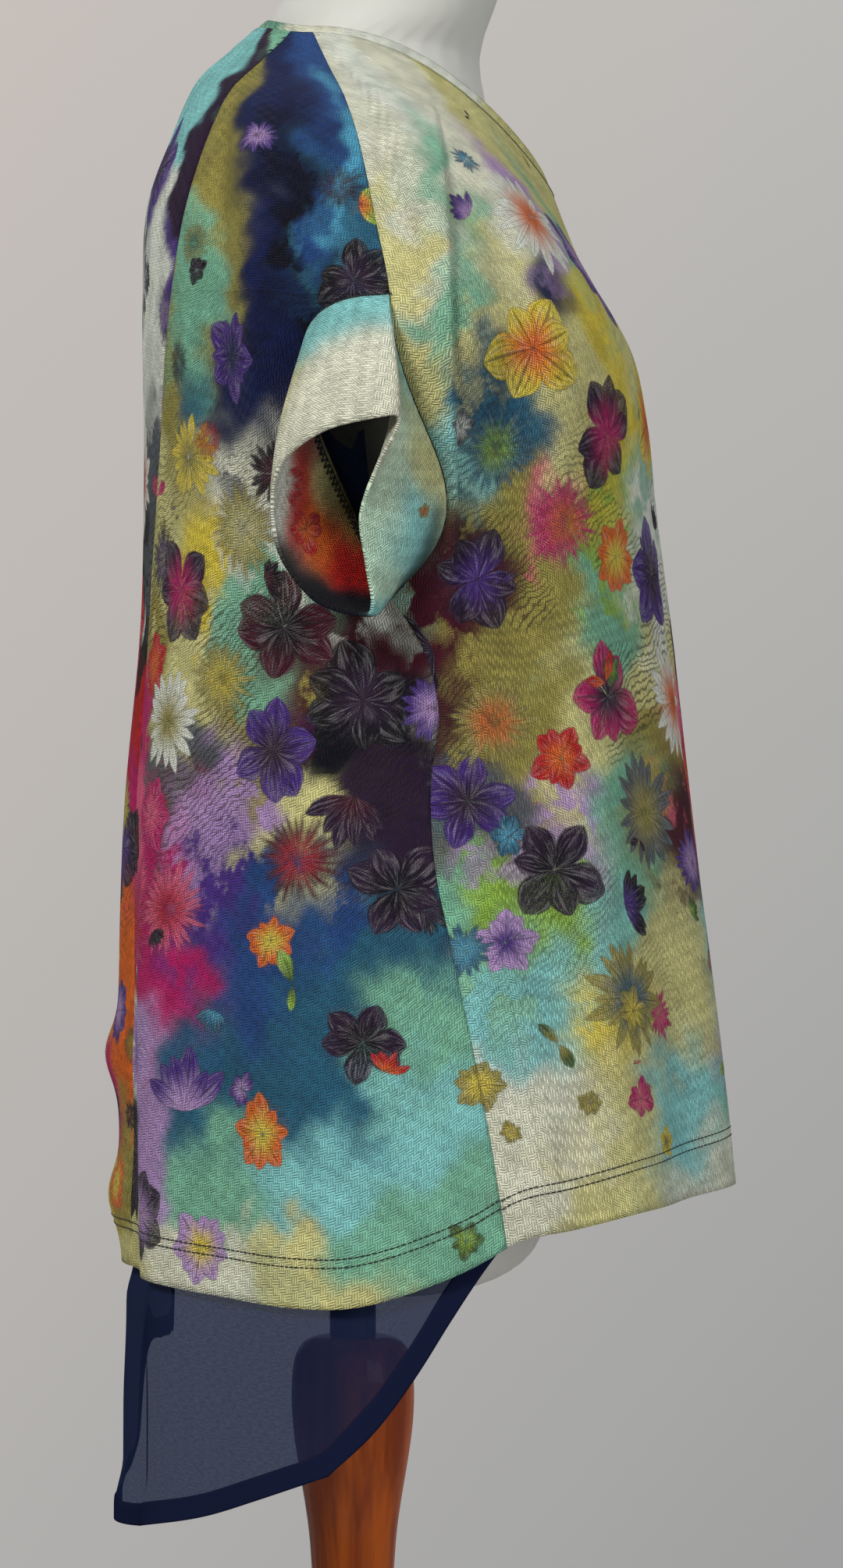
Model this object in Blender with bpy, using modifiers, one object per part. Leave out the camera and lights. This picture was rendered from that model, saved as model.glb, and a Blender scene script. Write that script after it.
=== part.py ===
"""A boxy printed blouse with turn-back cuffs and a longer sheer back layer, on a dress form.

The cloth is one smooth surface round the body, worked out from a short table of rings. Each
piece of the garment is a region of that surface between two seams, with a wall of its own.
Metres, +Z up. The front faces -Y, the wearer's left is +X, and the origin is the middle of the
stand's flat underside.
"""

import math
from collections import namedtuple

import bmesh
import bpy
import numpy as np

COLLECTION_NAME = "blouse_on_dress_form"

# Driving sizes
CLOTH_WALL = 0.0012
CUFF_WALL = 0.0022
BAND_WALL = 0.0016
BAND_GAP = 0.0009
SHEER_WALL = 0.0010
SEAM_GAP = 0.0004
SHEER_HEM_WIDTH = 0.012
SHOULDER_SEAT_GAP = 0.0009
POLE_RADIUS = 0.013
BASE_RADIUS = 0.17
BASE_HEIGHT = 0.025
COLUMN_TOP = 0.654
FORM_BOTTOM = 0.6885
TOUCH_GAP = 0.0003

# How finely the pieces are divided
FRONT_COLUMNS, BACK_COLUMNS, CENTRE_COLUMNS = 33, 12, 19
SHOULDER_ROWS, ARMHOLE_ROWS, BODY_ROWS = 10, 8, 12
ARMHOLE_TOP_BIAS = 1.4
CUFF_SECTIONS, CUFF_ROWS = 26, 5
BAND_SECTIONS, BAND_ROWS = 36, 3
SHEER_ROWS = 15
FORM_SECTIONS = 32
POLE_SECTIONS, COLUMN_SECTIONS, BASE_SECTIONS = 20, 24, 32

# Where the seams start and end along the cloth, from 0 at the neck seam to 1 at the hem
CUFF_TOP_ROW = 0.31
UNDERARM_ROW = 0.52
SHEER_TOP_ROW = 0.24

Ring = namedtuple(
    "Ring", "row z_front z_side z_back y_front y_middle y_back half_width power"
)
RINGS = (
    Ring(0.000, 1.2976, 1.3752, 1.3873, -0.1126, 0.0205, 0.0563, 0.0750, 2.00),
    Ring(0.055, 1.2710, 1.3521, 1.3730, -0.1225, 0.0117, 0.0720, 0.1100, 2.00),
    Ring(0.130, 1.2400, 1.3211, 1.3520, -0.1350, 0.0005, 0.0905, 0.1760, 2.05),
    Ring(0.180, 1.2220, 1.2970, 1.3250, -0.1440, -0.0061, 0.1015, 0.2060, 2.10),
    Ring(0.250, 1.1960, 1.2542, 1.2830, -0.1590, -0.0148, 0.1155, 0.2250, 2.15),
    Ring(0.310, 1.1660, 1.2145, 1.2350, -0.1650, -0.0224, 0.1175, 0.2360, 2.20),
    Ring(0.420, 1.1150, 1.1350, 1.1450, -0.1705, -0.0215, 0.1168, 0.2220, 2.25),
    Ring(0.520, 1.0550, 1.0616, 1.0650, -0.1785, -0.0226, 0.1184, 0.2030, 2.30),
    Ring(0.680, 0.9500, 0.9500, 0.9500, -0.1910, -0.0320, 0.1280, 0.2000, 2.35),
    Ring(0.840, 0.8450, 0.8400, 0.8300, -0.2030, -0.0380, 0.1310, 0.2070, 2.35),
    Ring(1.000, 0.7393, 0.7275, 0.7003, -0.2143, -0.0430, 0.1290, 0.2150, 2.35),
)

HemPoint = namedtuple("HemPoint", "azimuth height")
HEM = (
    HemPoint(0, 0.7445),
    HemPoint(15, 0.7450),
    HemPoint(30, 0.7476),
    HemPoint(40, 0.7457),
    HemPoint(50, 0.7431),
    HemPoint(60, 0.7412),
    HemPoint(70, 0.7344),
    HemPoint(78, 0.7285),
    HemPoint(84, 0.7162),
    HemPoint(90, 0.7068),
    HemPoint(101, 0.6955),
    HemPoint(108, 0.6946),
    HemPoint(125, 0.6972),
    HemPoint(135, 0.7000),
    HemPoint(150, 0.7009),
    HemPoint(180, 0.7003),
)
HEM_BLEND_ROW = 0.62
RIDGE_LAST_ROW = 0.20
AZIMUTH_STEPS = 8
HEIGHT_LOOKUPS = 201
RIDGE_LOOKUPS = 81

SeamPoint = namedtuple("SeamPoint", "row y")
SIDE_SEAM = (
    SeamPoint(0.52, -0.0226),
    SeamPoint(0.55, -0.0370),
    SeamPoint(0.60, -0.0480),
    SeamPoint(0.66, -0.0435),
    SeamPoint(0.71, -0.0450),
    SeamPoint(0.78, -0.0550),
    SeamPoint(0.84, -0.0640),
    SeamPoint(0.92, -0.0745),
    SeamPoint(1.00, -0.0830),
)

PrincessPoint = namedtuple("PrincessPoint", "row azimuth")
PRINCESS_SEAM = (
    PrincessPoint(0.000, 100.0),
    PrincessPoint(0.045, 110.0),
    PrincessPoint(0.120, 115.5),
    PrincessPoint(0.190, 120.0),
    PrincessPoint(0.250, 124.0),
    PrincessPoint(0.310, 129.5),
    PrincessPoint(0.420, 138.0),
    PrincessPoint(0.520, 147.5),
    PrincessPoint(0.570, 151.0),
    PrincessPoint(0.640, 153.5),
    PrincessPoint(0.840, 154.0),
    PrincessPoint(1.000, 157.0),
)

# The armhole's edges stand off the shoulder line by these widths, widest at these shares of it
ARMHOLE_FRONT_WIDTH = 0.029
ARMHOLE_FRONT_SKEW = 1.9
ARMHOLE_BACK_WIDTH = 0.046
ARMHOLE_BACK_SKEW = 0.45

# Soft vertical folds of the right half: the left half has similar ones, turned and scaled
Fold = namedtuple("Fold", "azimuth lean row_from row_to width rise left_turn left_scale")
FOLDS = (
    Fold(82.0, 0.0, 0.18, 0.50, 4.2, 0.0070, 1.0, 0.9),
    Fold(73.0, 0.0, 0.18, 0.58, 6.0, -0.0090, -1.5, 1.0),
    Fold(87.0, 0.0, 0.15, 0.36, 2.4, -0.0030, 0.0, 1.1),
    Fold(99.0, 2.0, 0.14, 0.42, 3.6, -0.0055, 1.0, 0.8),
    Fold(106.0, 3.0, 0.13, 0.46, 4.0, 0.0050, -1.5, 1.1),
    Fold(114.0, 4.0, 0.15, 0.52, 5.0, -0.0060, 1.0, 0.9),
    Fold(85.0, -3.0, 0.53, 0.80, 5.0, -0.0050, 1.0, 1.2),
    Fold(102.0, 2.0, 0.52, 1.30, 8.0, 0.0060, 2.0, 0.9),
    Fold(119.0, 3.0, 0.50, 1.35, 8.0, -0.0060, -2.0, 1.1),
    Fold(136.0, 2.0, 0.55, 1.40, 8.0, 0.0055, 1.5, 0.9),
    Fold(152.0, 0.0, 0.50, 1.40, 8.0, -0.0055, -2.0, 1.1),
    Fold(63.0, -3.0, 0.50, 1.35, 8.0, 0.0060, 1.5, 1.1),
    Fold(47.0, -2.0, 0.42, 1.40, 8.5, -0.0055, -2.0, 0.9),
    Fold(32.0, -2.0, 0.50, 1.35, 8.0, 0.0050, 2.0, 1.0),
    Fold(16.0, -1.0, 0.55, 1.40, 8.0, -0.0040, -1.0, 1.1),
)

# Two outward waves low on the centre back
Wave = namedtuple("Wave", "height reach rise spread")
BACK_WAVES = (
    Wave(0.8140, 0.0190, 0.0085, 17.0),
    Wave(0.7350, 0.0190, 0.0080, 19.0),
)

# The cuff's free edge, round the clock from its top towards the front
CuffPoint = namedtuple("CuffPoint", "clock x y z")
CUFF_EDGE = (
    CuffPoint(0, 0.2720, -0.0140, 1.1490),
    CuffPoint(35, 0.2650, -0.0285, 1.1470),
    CuffPoint(65, 0.2590, -0.0180, 1.1255),
    CuffPoint(95, 0.2500, -0.0090, 1.1006),
    CuffPoint(125, 0.2410, -0.0115, 1.0757),
    CuffPoint(160, 0.2360, -0.0148, 1.0560),
    CuffPoint(185, 0.2350, -0.0110, 1.0500),
    CuffPoint(215, 0.2365, 0.0130, 1.0550),
    CuffPoint(240, 0.2400, 0.0265, 1.0680),
    CuffPoint(265, 0.2470, 0.0355, 1.0840),
    CuffPoint(292, 0.2560, 0.0380, 1.1080),
    CuffPoint(322, 0.2680, 0.0300, 1.1320),
    CuffPoint(345, 0.2740, 0.0070, 1.1460),
)
CUFF_LIFT_OUT = 0.0025
CUFF_LIFT_DOWN = 0.0014
CUFF_DRAW_IN = 0.0010
CUFF_SWELL = 0.0030

# The neckband goes on from the neck seam: its width, and how far it leans in
BAND_WIDTH_FRONT, BAND_WIDTH_SIDE, BAND_WIDTH_BACK = 0.0125, 0.0090, 0.0095
BAND_LEAN_FRONT, BAND_LEAN_SIDE, BAND_LEAN_BACK = 0.35, 0.80, 0.30

# The sheer layer's lower edge, from the right side seam round the back to where it rises
TailPoint = namedtuple("TailPoint", "azimuth height")
SHEER_EDGE = (
    TailPoint(79.0, 0.7300),
    TailPoint(83.0, 0.7100),
    TailPoint(87.0, 0.6876),
    TailPoint(91.0, 0.6644),
    TailPoint(97.5, 0.6322),
    TailPoint(104.5, 0.6073),
    TailPoint(110.0, 0.5998),
    TailPoint(116.0, 0.5918),
    TailPoint(125.0, 0.5808),
    TailPoint(137.0, 0.5713),
    TailPoint(157.0, 0.5596),
    TailPoint(175.0, 0.5620),
    TailPoint(187.0, 0.5710),
    TailPoint(196.0, 0.5830),
    TailPoint(200.0, 0.6050),
    TailPoint(203.5, 0.6360),
    TailPoint(209.0, 0.6420),
    TailPoint(215.0, 0.6440),
    TailPoint(218.5, 0.6560),
    TailPoint(221.0, 0.7400),
)
# Past the tail the layer's edge is level, hidden above the hem on the wearer's left
SHEER_HIDDEN_AZIMUTHS = (226.0, 236.0, 247.0, 258.0, 270.0, 284.0)
SHEER_FRONT_AZIMUTH = 76.0
SHEER_LEFT_EDGE_HEIGHT = 0.7560
# It touches the cloth only where it is sewn to the middle of the back, within these limits
SHEER_CLEARANCE_SEWN = 0.0005
SHEER_CLEARANCE = 0.0046
SEWN_HALF_ANGLE = 14.0
SEWN_ROWS = 0.10
# For each metre below the hem the tail hangs this far out behind, and tucks in at its side
TAIL_FLARE = 0.062
TAIL_TUCK = 0.136
TAIL_TUCK_FROM, TAIL_TUCK_TO = 85.0, 120.0
WIDE_TAIL_STEP = 6.0

FormRing = namedtuple("FormRing", "z y_front y_back half_width power")
FORM_LOWER_RINGS = (
    FormRing(0.6885, -0.0720, 0.0640, 0.1200, 2.2),
    FormRing(0.6925, -0.0870, 0.0790, 0.1360, 2.2),
    FormRing(0.7035, -0.1035, 0.0935, 0.1510, 2.2),
    FormRing(0.7400, -0.1170, 0.1040, 0.1630, 2.2),
    FormRing(0.7960, -0.1240, 0.1090, 0.1690, 2.2),
    FormRing(0.8600, -0.1210, 0.1060, 0.1610, 2.2),
    FormRing(0.9300, -0.1150, 0.0960, 0.1430, 2.1),
    FormRing(1.0000, -0.1120, 0.0880, 0.1290, 2.1),
    FormRing(1.0700, -0.1230, 0.0880, 0.1330, 2.1),
    FormRing(1.1300, -0.1380, 0.0930, 0.1470, 2.1),
    FormRing(1.1700, -0.1430, 0.0970, 0.1560, 2.1),
    FormRing(1.2200, -0.1330, 0.0990, 0.1650, 2.1),
    FormRing(1.2600, -0.1170, 0.0980, 0.1700, 2.0),
    FormRing(1.2950, -0.0990, 0.0900, 0.1680, 1.9),
)
FORM_NECK_RINGS = (
    FormRing(1.3740, -0.0720, 0.0500, 0.0660, 1.8),
    FormRing(1.3880, -0.0745, 0.0465, 0.0605, 2.0),
    FormRing(1.4070, -0.0820, 0.0385, 0.0585, 2.0),
    FormRing(1.4240, -0.0865, 0.0335, 0.0580, 2.0),
    FormRing(1.4330, -0.0820, 0.0280, 0.0520, 2.0),
    FormRing(1.4360, -0.0700, 0.0160, 0.0400, 2.0),
)
# Between them the form follows the blouse's shoulder line, a small gap below it, and its
# widest place moves over to that line between these heights
FORM_SHOULDER_FROM, FORM_SHOULDER_FULL = 1.24, 1.31
FORM_SHOULDER_LEAVE, FORM_SHOULDER_END = 1.37, 1.39
FormShoulder = namedtuple("FormShoulder", "z y_front y_back power")
FORM_SHOULDERS = (
    FormShoulder(1.3180, -0.0860, 0.0780, 1.65),
    FormShoulder(1.3330, -0.0790, 0.0700, 1.50),
    FormShoulder(1.3480, -0.0760, 0.0620, 1.35),
    FormShoulder(1.3620, -0.0735, 0.0550, 1.45),
)

ColumnPoint = namedtuple("ColumnPoint", "radius z")
COLUMN_PROFILE = (
    ColumnPoint(0.0000, COLUMN_TOP),
    ColumnPoint(0.0200, COLUMN_TOP),
    ColumnPoint(0.0275, 0.6515),
    ColumnPoint(0.0325, 0.6450),
    ColumnPoint(0.0348, 0.6330),
    ColumnPoint(0.0350, 0.6110),
    ColumnPoint(0.0325, 0.5900),
    ColumnPoint(0.0275, 0.5620),
    ColumnPoint(0.0225, 0.5280),
    ColumnPoint(0.0215, 0.4200),
    ColumnPoint(0.0230, 0.1300),
    ColumnPoint(0.0265, 0.0850),
    ColumnPoint(0.0340, 0.0550),
    ColumnPoint(0.0400, BASE_HEIGHT + TOUCH_GAP),
    ColumnPoint(0.0000, BASE_HEIGHT + TOUCH_GAP),
)
BASE_PROFILE = (
    ColumnPoint(0.0000, BASE_HEIGHT),
    ColumnPoint(0.0550, BASE_HEIGHT),
    ColumnPoint(0.1450, 0.0180),
    ColumnPoint(0.1620, 0.0140),
    ColumnPoint(BASE_RADIUS, 0.0070),
    ColumnPoint(BASE_RADIUS, 0.0000),
    ColumnPoint(0.0000, 0.0000),
)

Finish = namedtuple("Finish", "colour roughness metallic")
FINISHES = {
    "printed_jersey": Finish((0.24, 0.40, 0.36), 0.85, 0.0),
    "printed_jersey_dark": Finish((0.05, 0.09, 0.16), 0.85, 0.0),
    "printed_jersey_light": Finish((0.46, 0.46, 0.36), 0.85, 0.0),
    "navy_sheer": Finish((0.010, 0.014, 0.045), 0.70, 0.0),
    "form_cover": Finish((0.56, 0.56, 0.52), 0.80, 0.0),
    "black_metal": Finish((0.03, 0.03, 0.03), 0.40, 0.9),
    "varnished_wood": Finish((0.13, 0.03, 0.006), 0.25, 0.0),
}


def clear_scene():
    for thing in list(bpy.data.objects):
        bpy.data.objects.remove(thing)


def new_collection(name):
    made = bpy.data.collections.new(name)
    bpy.context.scene.collection.children.link(made)
    return made


def material(name):
    """The finish of that name as a Principled material, made once."""
    if name in bpy.data.materials:
        return bpy.data.materials[name]
    finish = FINISHES[name]
    made = bpy.data.materials.new(name)
    made.use_nodes = True
    shader = made.node_tree.nodes["Principled BSDF"]
    shader.inputs["Base Color"].default_value = (*finish.colour, 1.0)
    shader.inputs["Roughness"].default_value = finish.roughness
    shader.inputs["Metallic"].default_value = finish.metallic
    return made


def smooth_curve(knots, values, places):
    """A smooth curve through the values at the knots, read at the places."""
    knots, values = np.asarray(knots, float), np.asarray(values, float)
    slopes = np.gradient(values, knots)
    places = np.clip(np.asarray(places, float), knots[0], knots[-1])
    cell = np.clip(np.searchsorted(knots, places, side="right") - 1, 0, len(knots) - 2)
    span = knots[cell + 1] - knots[cell]
    share = (places - knots[cell]) / span
    start_weight = 2 * share**3 - 3 * share**2 + 1
    start_slope_weight = share**3 - 2 * share**2 + share
    end_slope_weight = share**3 - share**2
    return (
        start_weight * values[cell]
        + start_slope_weight * span * slopes[cell]
        + (1 - start_weight) * values[cell + 1]
        + end_slope_weight * span * slopes[cell + 1]
    )


def column_of(table, name):
    return np.array([getattr(entry, name) for entry in table])


def ring_value(name, row):
    return smooth_curve(column_of(RINGS, "row"), column_of(RINGS, name), row)


def smooth_step(low, high, value):
    share = np.clip((np.asarray(value, float) - low) / (high - low), 0, 1)
    return share * share * (3 - 2 * share)


def half_turn(azimuth):
    """The azimuth folded onto 0 to 180 degrees, the same for both sides."""
    turned = np.mod(np.asarray(azimuth, float) + 180, 360) - 180
    return np.abs(turned)


def side_sign(azimuth):
    """1 on the wearer's right and -1 on the left."""
    return np.where(np.mod(np.asarray(azimuth, float), 360) <= 180, 1.0, -1.0)


def fold_rise(azimuth, row):
    """How far the soft folds lift or sink the cloth there."""
    turned = half_turn(azimuth)
    left = side_sign(azimuth) < 0
    total = np.zeros(np.broadcast(azimuth, row).shape)
    for fold in FOLDS:
        share = np.clip((row - fold.row_from) / (fold.row_to - fold.row_from), 0, 1)
        middle = fold.azimuth + fold.lean * share + np.where(left, fold.left_turn, 0)
        across = np.exp(-(((turned - middle) / fold.width) ** 2))
        scale = np.where(left, fold.left_scale, 1.0)
        total = total + fold.rise * scale * across * np.sin(np.pi * share) ** 0.8
    return total


def wave_rise(azimuth, height):
    total = np.zeros(np.broadcast(azimuth, height).shape)
    off_centre = 180 - half_turn(azimuth)
    for wave in BACK_WAVES:
        across = np.exp(-((off_centre / wave.spread) ** 2))
        total = total + wave.rise * across * np.exp(-(((height - wave.height) / wave.reach) ** 2))
    return total


def plain_radius(azimuth, row):
    """The ring's radius at that azimuth, with no folds, and its middle's y."""
    turned = np.radians(half_turn(azimuth))
    middle = ring_value("y_middle", row)
    front = middle - ring_value("y_front", row)
    back = ring_value("y_back", row) - middle
    depth = np.where(np.cos(turned) > 0, front, back)
    width = ring_value("half_width", row)
    power = ring_value("power", row)
    along = np.abs(np.cos(turned) / depth) ** power + np.abs(np.sin(turned) / width) ** power
    return along ** (-1 / power), middle


def cloth_height(azimuth, row):
    turned = np.radians(half_turn(azimuth))
    radius, _ = plain_radius(azimuth, row)
    sideways = np.clip(radius * np.sin(turned) / ring_value("half_width", row), 0, 1) ** 2
    middle = np.where(np.cos(turned) > 0, ring_value("z_front", row), ring_value("z_back", row))
    plain = middle + (ring_value("z_side", row) - middle) * sideways
    hem_radius, _ = plain_radius(azimuth, np.ones_like(plain))
    hem_sideways = np.clip(hem_radius * np.sin(turned) / RINGS[-1].half_width, 0, 1) ** 2
    hem_middle = np.where(np.cos(turned) > 0, RINGS[-1].z_front, RINGS[-1].z_back)
    plain_hem = hem_middle + (RINGS[-1].z_side - hem_middle) * hem_sideways
    true_hem = smooth_curve(
        column_of(HEM, "azimuth"), column_of(HEM, "height"), half_turn(azimuth)
    )
    return plain + (true_hem - plain_hem) * smooth_step(HEM_BLEND_ROW, 1, row)


def cloth_point(azimuth, row, inset=0.0, waves=True):
    """The point of the cloth's inner face at that azimuth and row, as an array of x, y, z."""
    azimuth, row = np.broadcast_arrays(
        np.asarray(azimuth, float), np.asarray(row, float)
    )
    radius, middle = plain_radius(azimuth, row)
    height = cloth_height(azimuth, row)
    reach = radius - CLOTH_WALL + fold_rise(azimuth, row) - inset
    if waves:
        reach = reach + wave_rise(azimuth, height)
    angle = np.radians(azimuth)
    return np.stack([-reach * np.sin(angle), middle - reach * np.cos(angle), height], -1)


def azimuth_at_y(y, row):
    """The right half's azimuth where the ring passes that y."""
    azimuth = np.full(np.shape(row), 90.0)
    for _ in range(AZIMUTH_STEPS):
        radius, middle = plain_radius(azimuth, row)
        azimuth = np.degrees(np.arccos(np.clip((middle - y) / radius, -1, 1)))
    return azimuth


def seam_side(row):
    """Azimuth of the shoulder seam above the cuff, and of the side seam below the underarm."""
    row = np.asarray(row, float)
    wanted = smooth_curve(column_of(SIDE_SEAM, "row"), column_of(SIDE_SEAM, "y"), row)
    return np.where(row <= CUFF_TOP_ROW, 90.0, azimuth_at_y(wanted, row))


def armhole_share(row):
    return np.clip(
        (np.asarray(row, float) - CUFF_TOP_ROW) / (UNDERARM_ROW - CUFF_TOP_ROW), 0, 1
    )


def armhole_y(row, front):
    share = armhole_share(row)
    line = float(ring_value("y_middle", CUFF_TOP_ROW))
    if front:
        return line - ARMHOLE_FRONT_WIDTH * np.sin(np.pi * share**ARMHOLE_FRONT_SKEW)
    return line + ARMHOLE_BACK_WIDTH * np.sin(np.pi * share**ARMHOLE_BACK_SKEW)


def panel_edge(row, front):
    """Azimuth of the front's or the side back's edge on the right, by row."""
    row = np.asarray(row, float)
    in_armhole = (row > CUFF_TOP_ROW) & (row < UNDERARM_ROW)
    return np.where(in_armhole, azimuth_at_y(armhole_y(row, front), row), seam_side(row))


def princess_azimuth(row):
    return smooth_curve(
        column_of(PRINCESS_SEAM, "row"), column_of(PRINCESS_SEAM, "azimuth"), row
    )


def gap_angle(azimuth, row):
    """Half of the seam gap, in degrees there."""
    return np.degrees(SEAM_GAP / 2 / plain_radius(azimuth, row)[0])


def armhole_rows():
    """Rows from the cuff's top to the underarm, closest at the top."""
    share = np.linspace(0, 1, ARMHOLE_ROWS) ** ARMHOLE_TOP_BIAS
    return CUFF_TOP_ROW + (UNDERARM_ROW - CUFF_TOP_ROW) * share


def cloth_rows():
    """The rows of the cloth's grids: closer over the shoulder and down the armhole."""
    shoulder = np.linspace(0, CUFF_TOP_ROW, SHOULDER_ROWS)
    body = np.linspace(UNDERARM_ROW, 1, BODY_ROWS)[1:]
    return np.concatenate([shoulder, armhole_rows()[1:], body])


def join_grid(name, grid, finish, group, wall, outward=1, closed=False, turn=False):
    """A wall on a grid of points (columns, rows, 3). It is a loft between unlike sections."""
    columns, rows = grid.shape[:2]
    shape = bmesh.new()
    verts = [[shape.verts.new(grid[i, j]) for j in range(rows)] for i in range(columns)]
    for i in range(columns if closed else columns - 1):
        this, after = verts[i], verts[(i + 1) % columns]
        for j in range(rows - 1):
            corners = (this[j], after[j], after[j + 1], this[j + 1])
            shape.faces.new(corners[::-1] if turn else corners)
    made = mesh_object(name, shape, finish, group)
    if wall:
        thick = made.modifiers.new("wall", "SOLIDIFY")
        thick.thickness = wall
        thick.offset = outward
    return made


def mesh_object(name, shape, finish, group):
    mesh = bpy.data.meshes.new(name)
    shape.to_mesh(mesh)
    shape.free()
    mesh.shade_smooth()
    mesh.materials.append(material(finish))
    made = bpy.data.objects.new(name, mesh)
    group.objects.link(made)
    return made


def spread(low, high, count):
    """Columns from one edge to the other, one row of azimuths for each."""
    share = np.linspace(0, 1, count)[:, None]
    return low[None, :] * (1 - share) + high[None, :] * share


def make_front_panel(group):
    rows = cloth_rows()
    edge = panel_edge(rows, front=True)
    edge = edge - gap_angle(edge, rows)
    azimuth = spread(-edge, edge, FRONT_COLUMNS)
    grid = cloth_point(azimuth, rows[None, :])
    join_grid("front_panel", grid, "printed_jersey", group, CLOTH_WALL)


def make_back_panels(group):
    rows = cloth_rows()
    front_edge = panel_edge(rows, front=False)
    front_edge = front_edge + gap_angle(front_edge, rows)
    back_edge = princess_azimuth(rows)
    back_edge = back_edge - gap_angle(back_edge, rows)
    right = spread(front_edge, back_edge, BACK_COLUMNS)
    for name, azimuth in (
        ("back_panel_right", right),
        ("back_panel_left", 360 - right[::-1]),
    ):
        grid = cloth_point(azimuth, rows[None, :])
        join_grid(name, grid, "printed_jersey_dark", group, CLOTH_WALL)


def make_centre_back(group):
    rows = cloth_rows()
    edge = princess_azimuth(rows)
    edge = edge + gap_angle(edge, rows)
    grid = cloth_point(spread(edge, 360 - edge, CENTRE_COLUMNS), rows[None, :])
    join_grid("centre_back_panel", grid, "printed_jersey_light", group, CLOTH_WALL)


def armhole_ring(clock):
    """The right armhole's edge round the clock, from its top towards the front.

    It lies on the panels' own edges, straight from one of their rows to the next.
    """
    share = (1 - np.cos(np.radians(clock))) / 2
    row = CUFF_TOP_ROW + (UNDERARM_ROW - CUFF_TOP_ROW) * share
    rows = armhole_rows()
    ring = np.empty((len(clock), 3))
    for front, half in ((True, clock <= 180), (False, clock > 180)):
        edge = cloth_point(azimuth_at_y(armhole_y(rows, front), rows), rows)
        for axis in range(3):
            ring[half, axis] = np.interp(row[half], rows, edge[:, axis])
    return ring


def closed_curve(clock_knots, values, clock):
    """A smooth curve round the clock, which meets itself."""
    knots = np.concatenate([clock_knots - 360, clock_knots, clock_knots + 360])
    return smooth_curve(knots, np.tile(values, 3), clock)


def cuff_grid(sections, along):
    """The right cuff's outer face, from the armhole to its free edge."""
    clock = np.arange(sections) * 360 / sections
    start = armhole_ring(clock)
    off_middle = start[:, 1] - start[:, 1].mean()
    start[:, 0] -= CUFF_LIFT_OUT
    start[:, 1] -= CUFF_DRAW_IN * off_middle / np.abs(off_middle).max()
    start[:, 2] -= CUFF_LIFT_DOWN
    knots = column_of(CUFF_EDGE, "clock")
    edge = np.stack(
        [
            -closed_curve(knots, column_of(CUFF_EDGE, "x"), clock),
            closed_curve(knots, column_of(CUFF_EDGE, "y"), clock),
            closed_curve(knots, column_of(CUFF_EDGE, "z"), clock),
        ],
        -1,
    )
    share = np.linspace(0, 1, along)[None, :, None]
    grid = start[:, None] * (1 - share) + edge[:, None] * share
    out_of_tube = grid - grid.mean(axis=0, keepdims=True)
    out_of_tube /= np.linalg.norm(out_of_tube, axis=-1, keepdims=True)
    return grid + out_of_tube * CUFF_SWELL * np.sin(np.pi * share)


def make_cuffs(group):
    right = cuff_grid(CUFF_SECTIONS, CUFF_ROWS)
    left = right * np.array([-1.0, 1.0, 1.0])
    join_grid(
        "cuff_right", right, "printed_jersey_light", group, CUFF_WALL, -1, closed=True, turn=True
    )
    join_grid("cuff_left", left, "printed_jersey_light", group, CUFF_WALL, -1, closed=True)


def by_quarter(azimuth, front, side, back):
    """A value that goes smoothly from the front to the side and on to the back."""
    turned = np.radians(half_turn(azimuth))
    ahead = np.where(np.cos(turned) > 0, front, back)
    return side + (ahead - side) * np.cos(turned) ** 2


def make_neckband(group):
    azimuth = np.arange(BAND_SECTIONS) * 360 / BAND_SECTIONS
    seam = cloth_point(azimuth, np.zeros_like(azimuth))
    width = by_quarter(azimuth, BAND_WIDTH_FRONT, BAND_WIDTH_SIDE, BAND_WIDTH_BACK)
    lean = by_quarter(azimuth, BAND_LEAN_FRONT, BAND_LEAN_SIDE, BAND_LEAN_BACK)
    angle = np.radians(azimuth)
    inwards = np.stack([np.sin(angle) * lean, np.cos(angle) * lean, np.sqrt(1 - lean**2)], -1)
    start = seam + inwards * BAND_GAP
    share = np.linspace(0, 1, BAND_ROWS)[None, :, None]
    grid = start[:, None] + inwards[:, None] * width[:, None, None] * share
    join_grid(
        "neckband", grid, "printed_jersey_light", group, BAND_WALL, -1, closed=True, turn=True
    )


def row_at_height(azimuth, height):
    """The row where the cloth is that high, for arrays of azimuths and heights."""
    rows = np.linspace(0, 1, HEIGHT_LOOKUPS)
    found = np.empty(np.shape(height))
    for index in np.ndindex(found.shape):
        heights = cloth_height(np.full_like(rows, azimuth[index]), rows)
        found[index] = np.interp(-height[index], -heights, rows)
    return found


def sheer_point(azimuth, height):
    """The sheer layer's inner face: inside the cloth, and hanging on below its hem."""
    azimuth, height = np.broadcast_arrays(azimuth, height)
    row = row_at_height(azimuth, height)
    hem = cloth_height(azimuth, np.ones_like(row))
    drop = np.clip(hem - height, 0, None)
    off_centre = 180 - half_turn(azimuth)
    sewn = np.exp(-((off_centre / SEWN_HALF_ANGLE) ** 2))
    sewn = sewn * (1 - smooth_step(0, SEWN_ROWS, row - SHEER_TOP_ROW))
    clearance = SHEER_CLEARANCE + (SHEER_CLEARANCE_SEWN - SHEER_CLEARANCE) * sewn
    inset = SHEER_WALL + clearance
    behind = np.clip(-np.cos(np.radians(azimuth)), 0, 1)
    ahead = 1 - smooth_step(TAIL_TUCK_FROM, TAIL_TUCK_TO, half_turn(azimuth))
    reach = drop * (TAIL_FLARE * behind - TAIL_TUCK * ahead)
    point = cloth_point(azimuth, row, inset - reach, waves=False)
    point[..., 2] = height
    return point


def sheer_edge_height(azimuth):
    return smooth_curve(
        column_of(SHEER_EDGE, "azimuth"), column_of(SHEER_EDGE, "height"), azimuth
    )


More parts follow.
